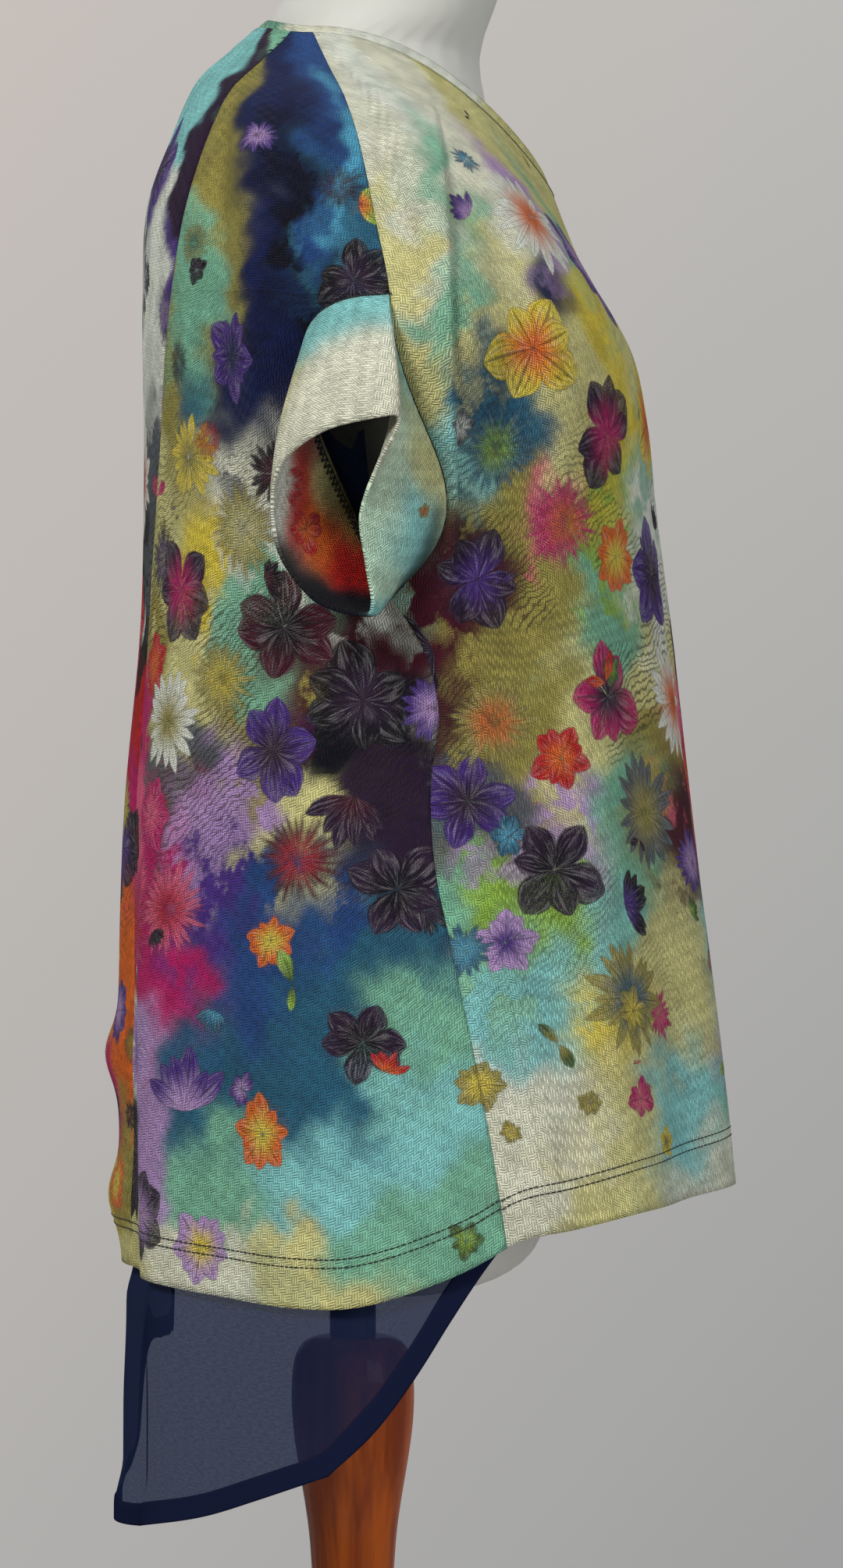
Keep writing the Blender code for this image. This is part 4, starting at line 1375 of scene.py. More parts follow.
def neckband_grid(sections: int, along: int) -> Grid:
    """Makes the neckband's outer face, a folded strip with a rounded upper edge.

    Args:
        sections: points round it.
        along: points across it.

    Returns:
        The neckband's grid.
    """
    azimuth = np.arange(sections) * 360 / sections
    seam = SURFACE.point(azimuth, np.zeros_like(azimuth))
    width = by_quarter(azimuth, BAND_WIDTHS)
    lean = by_quarter(azimuth, BAND_LEANS)
    angle = np.radians(azimuth)
    inwards = np.stack([np.sin(angle) * lean, np.cos(angle) * lean, np.sqrt(1 - lean**2)], -1)
    outwards = np.stack([-np.sin(angle), -np.cos(angle), np.zeros_like(angle)], -1)
    share = np.linspace(0, 1, along)[None, :, None]
    start = seam + inwards * BAND_GAP
    points = start[:, None] + inwards[:, None] * width[:, None, None] * share
    points = points + outwards[:, None] * (0.0007 * np.sin(np.pi * share) - 0.0004 * (share < 0.02))
    across = np.broadcast_to(azimuth[:, None], points.shape[:2])
    return Grid.measured(points, across, points[..., 2], 0.0)


def row_at_height(azimuth: Array, height: Array) -> Array:
    """Finds the rows where the cloth is that high.

    Args:
        azimuth: one for each column.
        height: columns by rows.

    Returns:
        The rows.
    """
    rows = np.linspace(0, 1, 241)
    found = np.empty_like(height)
    for index, turn in enumerate(azimuth):
        heights = SURFACE.height(np.full_like(rows, turn), rows)
        found[index] = np.interp(-height[index], -heights, rows)
    return found


def sheer_points(azimuth: Array, height: Array) -> Array:
    """Finds points of the sheer layer, inside the cloth and hanging on below its hem.

    Args:
        azimuth: one for each column.
        height: columns by rows.

    Returns:
        Its points.
    """
    row = row_at_height(azimuth, height)
    turned = np.broadcast_to(azimuth[:, None], height.shape)
    drop = np.clip(SURFACE.height(turned, np.ones_like(row)) - height, 0, None)
    off_centre = 180 - half_turn(turned)
    sewn = np.exp(-((off_centre / 14) ** 2)) * (1 - smooth_step(0, 0.10, row - SHEER_TOP_ROW))
    clearance = 0.0046 - 0.0041 * sewn
    behind = np.clip(-np.cos(np.radians(turned)), 0, 1)
    ahead = 1 - smooth_step(85, 120, half_turn(turned))
    flare = TAIL_FLARE[0] * smooth_step(0.0, 0.022, drop) + TAIL_FLARE[1] * smooth_step(0.108, 0.134, drop)
    reach = flare * behind - drop * TAIL_TUCK * ahead
    ripple = 0.0016 * np.sin(np.radians(turned) * 9 + 1.1) + 0.0011 * np.sin(np.radians(turned) * 17 + height * 6)
    reach = reach + ripple * smooth_step(0.01, 0.08, drop)
    point = SURFACE.point(turned, row, SHEER_WALL + clearance - reach, waves=False)
    point[..., 2] = height
    return point


def sheer_edge_height(azimuth: Array) -> Array:
    """Finds the sheer's outer edge, with a sharp mitred corner.

    Args:
        azimuth: degrees round the body.

    Returns:
        The heights.
    """
    before = [entry for entry in SHEER_EDGE if entry[0] <= SHEER_CORNER]
    after = [entry for entry in SHEER_EDGE if entry[0] >= SHEER_CORNER]
    return np.where(azimuth < SHEER_CORNER, smooth_curve(before, azimuth), smooth_curve(after, azimuth))


def sheer_band_height(azimuth: Array, width: float) -> Array:
    """Finds the height that wide above the sheer's outer edge.

    Args:
        azimuth: degrees round the body.
        width: metres, square to the edge.

    Returns:
        The heights.
    """
    rise = smooth_curve(SHEER_EDGE, azimuth + 1) - smooth_curve(SHEER_EDGE, azimuth - 1)
    radius, _ = SURFACE.radius(azimuth, np.ones_like(azimuth))
    slope = np.minimum(np.abs(rise / (radius * math.radians(2))), 2.6)
    return sheer_edge_height(azimuth) + width * np.sqrt(1 + slope**2)


def sheer_grids() -> tuple[Grid, Grid]:
    """Makes the sheer layer and its hem band.

    Returns:
        Both grids.
    """
    tail = np.linspace(SHEER_EDGE[0][0], SHEER_EDGE[-1][0], 180)
    tail[np.argmin(np.abs(tail - SHEER_CORNER))] = SHEER_CORNER
    after = np.linspace(SHEER_EDGE[-1][0], 360 - SHEER_FRONT_AZIMUTH, 50)[1:]
    azimuth = np.concatenate([[SHEER_FRONT_AZIMUTH, 77.5], tail, after])
    bottom = np.full_like(azimuth, SHEER_LEFT_EDGE_HEIGHT)
    bottom[2 : 2 + len(tail)] = sheer_band_height(tail, SHEER_HEM_WIDTH - 0.0008)
    bottom = np.minimum(bottom, SHEER_LEFT_EDGE_HEIGHT)
    top = SURFACE.height(azimuth, np.full_like(azimuth, SHEER_TOP_ROW))
    top = np.minimum(top, smooth_curve(SHEER_ARMHOLE_TOP, half_turn(azimuth)))
    share = np.linspace(0, 1, 170)[None, :]
    height = top[:, None] * (1 - share) + bottom[:, None] * share
    layer = Grid.measured(
        sheer_points(azimuth, height), np.broadcast_to(azimuth[:, None], height.shape), height
    )
    tail = tail[tail < 219.5]
    inner = np.minimum(sheer_band_height(tail, SHEER_HEM_WIDTH), SHEER_LEFT_EDGE_HEIGHT - 0.001)
    outer = sheer_edge_height(tail)
    share = np.linspace(0, 1, 9)[None, :]
    height = inner[:, None] * (1 - share) + outer[:, None] * share
    band = Grid.measured(sheer_points(tail, height), np.broadcast_to(tail[:, None], height.shape), height)
    return layer, band


def sheer_density(grid: Grid) -> dict[str, Array]:
    """Marks where the sheer lies double: one thin fold and the strip along its back.

    Args:
        grid: the sheer layer.

    Returns:
        The density attribute.
    """
    y, z = grid.points[..., 1], grid.points[..., 2]
    near = (grid.across > 90) & (grid.across < 180)
    fold = np.exp(-(((y - 0.0315) / 0.0020) ** 2)) * smooth_step(0.645, 0.655, z)
    hem = smooth_step(0.1150, 0.1165, y) * (1 - smooth_step(0.685, 0.700, z))
    dense = np.where(near, np.clip(0.50 * fold + 0.55 * hem, 0, 0.8), 0)
    return {"density": np.stack([dense] * 3 + [np.ones_like(dense)], -1)}


# Columns of the patches: across, up, wide, tall, tone; on the body across is in degrees and up in metres,
# and on the cuff they are the clock and the share from the armhole to the free edge
FRONT_SPOTS = """
88 1.340 12 50 CREAM|80 1.340 30 40 PALE|68 1.335 30 30 CREAM|50 1.310 30 30 BUTTER|25 1.280 50 30 BUTTER
84 1.270 12 50 CREAM|78 1.290 12 50 SEA|70 1.275 20 30 CREAM|60 1.280 20 30 LILAC|40 1.270 30 30 SEA
87 1.230 8 40 BUTTER|82 1.210 8 30 SEA|82 1.170 8 20 BUTTER|80 1.130 10 30 AQUA|74 1.220 20 30 BUTTER
64 1.220 20 20 NAVY|52 1.210 30 20 YELLOW|30 1.210 50 30 BUTTER|74 1.165 20 25 TEAL|62 1.165 20 30 BUTTER
48 1.150 30 30 YELLOW|22 1.160 50 30 SEA|76 1.115 20 25 OLIVE|64 1.110 20 20 PINK|50 1.100 30 30 LIME
28 1.100 50 30 PALE|78 1.060 20 30 MAROON|66 1.055 20 25 OLIVE|52 1.050 30 30 SEA|28 1.040 50 30 BUTTER
84 1.010 20 30 MAROON|72 1.000 25 30 OLIVE|58 1.000 25 30 BUTTER|40 0.990 30 30 OLIVE|18 1.000 50 30 PINK
80 0.955 20 30 GREY|66 0.950 25 30 LILAC|50 0.945 30 30 SEA|28 0.940 50 30 MAROON|84 0.900 20 30 SEA
72 0.900 25 30 LIME|58 0.895 25 30 AQUA|40 0.890 40 30 BUTTER|15 0.890 50 30 AQUA|84 0.850 20 30 AQUA
72 0.850 25 30 AQUA|58 0.845 30 30 YELLOW|40 0.840 40 30 BUTTER|15 0.840 50 30 LILAC|86 0.800 20 30 PALE
74 0.800 30 30 CREAM|60 0.800 30 30 BUTTER|42 0.790 40 30 AQUA|15 0.790 50 30 SEA|80 0.755 30 20 CREAM
60 0.755 40 20 BUTTER|36 0.755 50 20 CREAM|10 0.760 60 20 PALE
"""
# Among the print's navy, the NIGHT patches high on the shoulder at 98 to 103 degrees are painted shade of the
# fold groove there, and the BLUE patch at 98 degrees and 1.25 m is a painted highlight on the ridge beside it
SIDE_PRINT_AND_SHADE_SPOTS = """
96 1.350 20 30 BLUE|103 1.330 20 40 NAVY|113 1.290 14 30 OLIVE|102 1.280 12 40 NIGHT|115 1.245 12 50 OLIVE
120 1.215 14 40 SEA|103 1.225 14 40 NIGHT|93 1.285 8 40 SKY|91 1.250 8 30 TEAL|109 1.240 14 40 NAVY
108 1.170 22 30 NAVY|121 1.170 14 30 TEAL|98 1.250 8 40 BLUE|98 1.180 14 40 NIGHT|127 1.150 16 40 OLIVE
114 1.125 30 25 CREAM
102 1.110 20 30 PALE|132 1.100 20 30 BUTTER|122 1.085 20 20 YELLOW|108 1.065 20 25 SEA|98 1.045 20 20 MAROON
140 1.050 20 30 OLIVE
126 1.035 20 20 BUTTER|112 1.010 20 20 OLIVE|98 0.995 20 20 NIGHT|146 1.000 20 30 MAGENTA|132 0.985 20 20 GREY
118 0.965 20 20 LILAC|104 0.950 20 20 BUTTER|92 0.945 20 20 PLUM|148 0.940 20 30 PINK|134 0.925 20 30 MAGENTA
120 0.910 20 20 VIOLET|106 0.900 20 30 BLUE|92 0.895 20 30 TEAL|148 0.880 20 30 RED|134 0.865 25 30 MAGENTA
118 0.860 20 30 BLUE|104 0.850 30 30 TEAL|90 0.840 20 30 SEA|150 0.820 20 25 PALE|138 0.810 20 25 LILAC
122 0.810 30 30 TEAL|106 0.800 30 30 TEAL|92 0.790 20 30 AQUA|150 0.765 20 20 NIGHT|138 0.765 20 20 LILAC
122 0.765 25 20 SEA|106 0.760 30 20 AQUA|90 0.750 20 20 SEA|148 0.720 30 14 BUTTER|128 0.715 30 12 CREAM
108 0.715 30 12 BUTTER|92 0.725 30 12 SEA
"""
BACK_SPOTS = """
106 1.372 10 8 SEA|115 1.350 8 20 PLUM|119 1.310 8 30 PLUM|124 1.270 8 30 PLUM|129 1.235 7 20 VIOLET
124 1.358 10 15 AQUA|132 1.325 12 20 AQUA|150 1.340 30 20 AQUA|172 1.330 30 30 SKY|142 1.290 20 20 VIOLET
136 1.240 18 40 PALE|150 1.215 30 30 PALE|172 1.220 30 40 SEA|146 1.150 20 30 GREY|166 1.140 30 30 PALE
156 1.075 20 30 BLACK|176 1.080 30 30 PINK|158 1.020 20 30 RED|176 1.000 30 30 RED|160 0.950 20 30 MAGENTA
176 0.930 30 30 ORANGE|162 0.880 20 30 ORANGE|178 0.860 30 30 YELLOW|160 0.820 20 30 ORANGE
176 0.790 30 30 MAGENTA
162 0.760 20 20 OLIVE|176 0.730 30 20 YELLOW|162 0.710 20 12 BUTTER
"""
# In the cuff's patches, the OLIVE patch at clock 50 and share 0.20 is painted shade in the hollow at the top of
# the crease
CUFF_PRINT_AND_SHADE_SPOTS = """
0 0.04 50 11 AQUA|335 0.05 30 11 AQUA|25 0.10 30 14 AQUA|10 0.60 50 16 CREAM|345 0.85 50 14 CREAM
50 0.85 18 10 CREAM
50 0.20 10 10 OLIVE|72 0.62 20 14 MINT|95 0.15 20 10 BUTTER|96 0.85 20 12 MINT|118 0.50 16 16 AQUA
138 0.75 20 14 MINT
116 0.32 16 10 AQUA|165 0.75 12 12 AQUA|118 0.17 6 5 BLACK|125 0.24 7 7 BLACK|133 0.28 8 8 BLACK
141 0.30 9 9 BLACK|149 0.30 9 9 BLACK|157 0.32 9 9 NIGHT|165 0.26 9 9 BLACK|188 0.60 8 16 NIGHT
200 0.70 10 14 NIGHT
214 0.80 10 12 NIGHT|228 0.87 10 11 NIGHT|242 0.94 10 10 NIGHT|256 1.00 9 9 NIGHT|267 1.06 7 7 NIGHT
206 -0.12 10 12 ORANGE
220 0.06 10 12 RED|234 0.24 10 11 RED|240 0.02 10 7 OLIVE|248 0.44 9 11 ORANGE|262 0.62 9 10 RED
258 0.12 10 9 BUTTER
276 0.85 8 12 PALE|278 0.35 9 12 RED|290 0.70 9 14 PALE|296 0.20 10 12 CREAM|312 0.40 12 14 BUTTER
"""
BAND_SPOTS = """
20 1.305 60 20 BUTTER|60 1.350 30 20 PALE|90 1.380 20 20 CREAM|130 1.390 30 20 SEA|170 1.390 40 20 CREAM
"""
# Columns of the motifs: kind, across, up, radius, turn, outer tone, inner tone
FRONT_MOTIFS = """
DAISY 62 1.262 38 .10 PALE ORANGE|LILY 44 1.245 42 .30 VIOLET LILAC|LILY 70 1.190 34 .05 YELLOW ORANGE
LILY 54 1.150 36 .22 PLUM MAGENTA|FRINGE 75 1.137 27 .20 TEAL LIME|FRINGE 63 1.102 27 .40 MAGENTA ORANGE
LILY 77 1.072 32 .33 PLUM VIOLET|STAR 50 1.084 25 .10 ORANGE YELLOW|DAISY 66 1.040 31 .60 PALE OLIVE
SPRAY 84 1.035 34 .15 BLACK PLUM|LILY 54 1.010 34 .45 MAGENTA PLUM|FRINGE 76 0.998 27 .70 OLIVE ORANGE
STAR 66 0.978 20 .30 RED ORANGE|LILY 81 0.956 31 .52 VIOLET PLUM|LEAF 60 0.962 34 .20 LEAF LIME
DAISY 47 0.950 36 .80 GREY OLIVE|LILY 69 0.922 32 .12 PLUM BLACK|SPRAY 56 0.902 30 .62 BLACK VIOLET
STAR 77 0.884 19 .55 LILAC VIOLET|DAISY 57 0.852 36 .05 OLIVE TEAL|SPRAY 85 0.862 33 .90 PLUM MAROON
LEAF 70 0.832 17 .40 LEAF OLIVE|STAR 66 0.800 8 .10 OLIVE OLIVE|STAR 78 0.786 7 .20 OLIVE YELLOW
STAR 50 0.776 10 .30 YELLOW OLIVE|LILY 20 1.230 44 .30 MAGENTA VIOLET|LILY 28 1.160 42 .10 YELLOW ORANGE
DAISY 8 1.170 38 .30 PALE RED|LILY 34 1.080 38 .60 VIOLET PLUM|FRINGE 16 1.090 34 .10 TEAL OLIVE
LILY 8 1.030 40 .20 PLUM BLACK|DAISY 30 1.010 36 .40 PALE ORANGE|STAR 16 0.970 28 .70 RED ORANGE
LILY 32 0.940 38 .20 PLUM MAROON|FRINGE 6 0.930 32 .50 ORANGE RED|LILY 20 0.890 36 .10 VIOLET LILAC
SPRAY 36 0.862 34 .30 BLACK PLUM|STAR 12 0.840 22 .10 MAGENTA PINK|LEAF 26 0.810 24 .60 LIME LEAF
"""
SIDE_MOTIFS = """
FRINGE 147 0.890 44 0 MAGENTA RED|FRINGE 132 0.900 30 .3 PINK RED|FRINGE 121 1.250 14 0 OLIVE LEAF
LILY 94 1.222 25 .12 BLACK PLUM|SPRAY 92 1.262 17 .60 LIME ORANGE|STAR 113 1.187 27 .10 VIOLET NAVY
DAISY 124 1.137 26 .20 YELLOW OLIVE|FRINGE 112 1.098 28 .50 OLIVE BUTTER|LILY 129 1.070 34 .30 PLUM MAGENTA
LILY 106 1.047 36 .72 MAROON BLACK|FRINGE 119 1.020 26 .10 OLIVE YELLOW|LILY 95 1.008 34 .42 BLACK PLUM
STAR 141 1.030 22 .20 RED ORANGE|DAISY 133 0.998 32 .65 PALE OLIVE|LILY 110 0.984 33 .05 VIOLET PLUM
SPRAY 98 0.958 32 .30 PLUM MAROON|DAISY 122 0.955 30 .15 GREY PALE|FRINGE 107 0.924 27 .25 MAROON RED
LILY 92 0.910 31 .62 PLUM BLACK|STAR 112 0.884 17 .35 ORANGE YELLOW|DAISY 146 0.822 36 .40 LILAC VIOLET
LILY 98 0.832 27 .20 PLUM BLACK|SPRAY 129 0.790 36 .85 VIOLET LILAC|STAR 114 0.782 22 .15 ORANGE YELLOW
SPRAY 150 0.760 44 .15 BLACK PLUM|LILY 141 0.734 31 .55 BLACK LILAC|LEAF 133 0.762 28 .60 LIME LEAF
STAR 126 0.722 22 .25 LILAC YELLOW|LEAF 108 0.862 20 .80 LIME LEAF
"""
BACK_MOTIFS = """
LILY 146 1.300 36 .20 VIOLET PLUM|LILY 172 1.320 40 .60 PLUM BLACK|DAISY 160 1.240 40 .20 GREY PALE
LILY 178 1.160 44 .70 BLACK VIOLET|DAISY 158 1.130 36 .10 PALE RED|LILY 168 1.060 40 .45 RED ORANGE
FRINGE 178 0.990 36 .10 MAGENTA RED|LILY 164 0.930 38 .20 PLUM VIOLET|DAISY 178 0.870 40 .30 YELLOW ORANGE
STAR 164 0.840 24 .30 VIOLET LILAC|LILY 176 0.780 38 .55 PLUM MAGENTA|STAR 164 0.745 20 .15 ORANGE YELLOW
"""
CUFF_MOTIFS = """
STAR 108 0.34 5 .10 OLIVE ORANGE|LILY 256 0.55 14 .30 RED ORANGE|SPRAY 280 0.62 15 .55 RED PALE
SPRAY 146 0.34 15 .20 BLACK NIGHT
"""
SCATTER_KINDS = (Bloom.STAR, Bloom.LEAF, Bloom.SPRAY, Bloom.DAISY, Bloom.FRINGE, Bloom.LILY)
SCATTER_TONES = (
    (Tone.VIOLET, Tone.LILAC), (Tone.LEAF, Tone.LIME), (Tone.RED, Tone.ORANGE), (Tone.PLUM, Tone.VIOLET),
    (Tone.MAGENTA, Tone.PINK), (Tone.OLIVE, Tone.YELLOW), (Tone.GREY, Tone.PALE), (Tone.BLACK, Tone.PLUM),
    (Tone.BLACK, Tone.MAROON), (Tone.TEAL, Tone.SKY),
)


def entries(table: str) -> list[list[str]]:
    """Splits a table's text into each entry's words."""
    return [entry.split() for entry in table.replace("\n", "|").split("|") if entry.strip()]


def read_spots(table: str) -> list[Spot]:
    """Reads patches, and gives the wearer's left similar ones.

    Args:
        table: the table's text.

    Returns:
        Patches for both sides.
    """
    right = [Spot(*(float(word) for word in words[:4]), Tone[words[4]]) for words in entries(table)]
    left = [
        Spot(-spot.across - 5, spot.up - 0.018, spot.wide, spot.tall, spot.tone)
        for spot in right
        if 8 < spot.across < 170
    ]
    return [*right, *left]


def read_motifs(table: str) -> list[Motif]:
    """Reads motifs, and gives the wearer's left similar ones.

    Args:
        table: the table's text.

    Returns:
        Motifs for both sides, lowest first.
    """
    right = [
        Motif(Bloom[kind], float(across), float(up), float(radius), float(turn), Tone[outer], Tone[inner])
        for kind, across, up, radius, turn, outer, inner in entries(table)
    ]
    left = [
        Motif(motif.kind, -motif.across - 4, motif.up - 0.016, motif.radius * 0.96, 0.4 - motif.turn,
              motif.outer, motif.inner)
        for motif in right
        if 10 < motif.across < 172
    ]
    return [*right, *left]


def small_motifs() -> list[Motif]:
    """Scatters small motifs, most of them where the print is busiest.

    Returns:
        The motifs.
    """
    rng = np.random.default_rng(SEED)
    small = []
    for _ in range(900):
        across, up = rng.uniform(-180, 180), rng.uniform(0.72, 1.33)
        busy = 0.06 + 0.94 * math.exp(-(((up - 1.01) / 0.14) ** 2))
        kind = SCATTER_KINDS[rng.integers(len(SCATTER_KINDS))]
        outer, inner = SCATTER_TONES[rng.integers(len(SCATTER_TONES))]
        radius, turn = rng.uniform(8, 16 + 12 * busy), rng.uniform(0, 1)
        if rng.uniform() < busy:
            small.append(Motif(kind, across, up, radius, turn, outer, inner))
    return small


def body_print(spots: str, motifs: str) -> Print:
    """Makes the print of a body panel.

    Args:
        spots: the table of its patches.
        motifs: the table of its motifs.

    Returns:
        The print.
    """
    return Print(
        read_spots(spots), [*read_motifs(motifs), *small_motifs()], (0.0036, 1.0), (6.0, -0.034), (1.02, 0.17)
    )


@dataclass(frozen=True)
class Stitch:
    """A kind of stitch.

    Attributes:
        pitch: from one stitch to the next, in metres.
        length: a stitch's length.
        thick: its thickness.
        turn: its turn from the line, in radians.
        shake: how uneven the stitches are.
    """

    pitch: float
    length: float
    thick: float
    turn: float = 0.0
    shake: float = 0.08


TWIN_NEEDLE = Stitch(0.0031, 0.0031, 0.00085)
TWIN_ROWS_APART = 0.0044
# The neck line's stitches run into one another: thread and the seam's painted shadow line
NECK_THREAD_AND_SHADOW = Stitch(0.0030, 0.0036, 0.00080)
NECK_SEAM_ROW = 0.0035
# The cuff's seam line: nearly continuous thread, which also stands for the seam's painted shadow line
CUFF_THREAD_AND_SHADOW = Stitch(0.0024, 0.0032, 0.00085)
PRINCESS_MARKS = Stitch(0.0062, 0.0034, 0.0009, math.pi / 2, 0.3)
PRINCESS_MARK_ROWS = (0.012, 0.135)
OVERLOCK = Stitch(0.0010, 0.0015, 0.0008, 0.0, 0.15)
# The overlock's edges: which rings of the cuff's grid it runs between
OVERLOCK_RINGS = (1, 3)


@dataclass
class ThreadWork:
    """Stitches along lines, made by one Geometry Nodes tree.

    Attributes:
        material: the thread's material.
        tree: the tree, made once.
    """

    material: bpy.types.Material
    tree: Optional[bpy.types.NodeTree] = None

    def make_tree(self) -> bpy.types.NodeTree:
        """Makes the tree: points along the line, a stitch on each, real geometry, one material.

        Returns:
            The tree.
        """
        tree = bpy.data.node_groups.new("stitches", "GeometryNodeTree")
        sockets = tree.interface
        sockets.new_socket("Geometry", in_out="INPUT", socket_type="NodeSocketGeometry")
        for name in ("Pitch", "Length", "Thickness", "Turn", "Shake"):
            sockets.new_socket(name, in_out="INPUT", socket_type="NodeSocketFloat")
        sockets.new_socket("Seed", in_out="INPUT", socket_type="NodeSocketInt")
        sockets.new_socket("Thread", in_out="INPUT", socket_type="NodeSocketMaterial")
        sockets.new_socket("Geometry", in_out="OUTPUT", socket_type="NodeSocketGeometry")
        work = NodeWork(tree)
        given = work.node("NodeGroupInput").outputs
        on_line = {"Curve": given["Geometry"], "Length": given["Pitch"]}
        along = work.node("GeometryNodeCurveToPoints", on_line, mode="LENGTH").outputs
        bead = work.node("GeometryNodeMeshUVSphere", {"Segments": 6, "Rings": 4, "Radius": 0.5}).outputs["Mesh"]
        size = work.combine(given["Thickness"], given["Thickness"], given["Length"])
        turn = work.combine(0.0, given["Turn"])
        shape = work.node("GeometryNodeTransform", {"Geometry": bead, "Scale": size, "Rotation": turn})
        low, high = (work.math(name, 1.0, given["Shake"]) for name in ("SUBTRACT", "ADD"))
        uneven = work.node("FunctionNodeRandomValue", {2: low, 3: high, "Seed": given["Seed"]}, data_type="FLOAT")
        on_points = {"Points": along["Points"], "Instance": shape.outputs[0], "Rotation": along["Rotation"],
                     "Scale": uneven.outputs[1]}
        put = work.node("GeometryNodeInstanceOnPoints", on_points)
        real = work.node("GeometryNodeRealizeInstances", {0: put.outputs[0]})
        dyed = work.node("GeometryNodeSetMaterial", {"Geometry": real.outputs[0], "Material": given["Thread"]})
        work.node("NodeGroupOutput", {0: dyed.outputs[0]})
        return tree

    def sew(self, name: str, lines: Sequence[Array], stitch: Stitch) -> bpy.types.Object:
        """Sews stitches along lines.

        Args:
            name: the piece's name.
            lines: points of each line, in order.
            stitch: the kind of stitch.

        Returns:
            The stitches as a plain mesh.
        """
        self.tree = self.tree or self.make_tree()
        curve = bpy.data.curves.new(name + "_line", "CURVE")
        curve.dimensions = "3D"
        for line in lines:
            spline = curve.splines.new("POLY")
            spline.points.add(len(line) - 1)
            spline.points.foreach_set("co", np.concatenate([line, np.ones((len(line), 1))], 1).ravel())
        path = add_object(name + "_line", curve)
        sewn = path.modifiers.new("stitches", "NODES")
        sewn.node_group = self.tree
        values = {"Pitch": stitch.pitch, "Length": stitch.length, "Thickness": stitch.thick,
                  "Turn": stitch.turn, "Shake": stitch.shake, "Seed": SEED, "Thread": self.material}
        for item in self.tree.interface.items_tree:
            if item.in_out == "INPUT" and item.name in values:
                sewn[item.identifier] = values[item.name]
        graph = bpy.context.evaluated_depsgraph_get()
        mesh = bpy.data.meshes.new_from_object(path.evaluated_get(graph))
        bpy.data.objects.remove(path)
        mesh.shade_smooth()
        if not mesh.materials:
            mesh.materials.append(self.material)
        made = add_object(name, mesh)
        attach(made, "root")
        LOG.info("%s: %d faces of thread", name, len(mesh.polygons))
        return made


def line_above_hem(azimuths: Array, distance: Array) -> Array:
    """Finds a line on the cloth's outer face, that far above its hem.

    Args:
        azimuths: degrees round the body.
        distance: metres above the hem, for each azimuth.

    Returns:
        The line's points.
    """
    rows = np.linspace(0.90, 1, 60)
    points = SURFACE.point(azimuths[:, None], rows[None, :])
    steps = np.linalg.norm(np.diff(points, axis=1), axis=-1)
    from_hem = np.concatenate([np.cumsum(steps[:, ::-1], axis=1)[:, ::-1], np.zeros((len(azimuths), 1))], 1)
    at = np.array([np.interp(-d, -f, rows) for d, f in zip(distance, from_hem)])
    return SURFACE.point(azimuths, at, inset=-SHOWN_WALL - 0.00010)


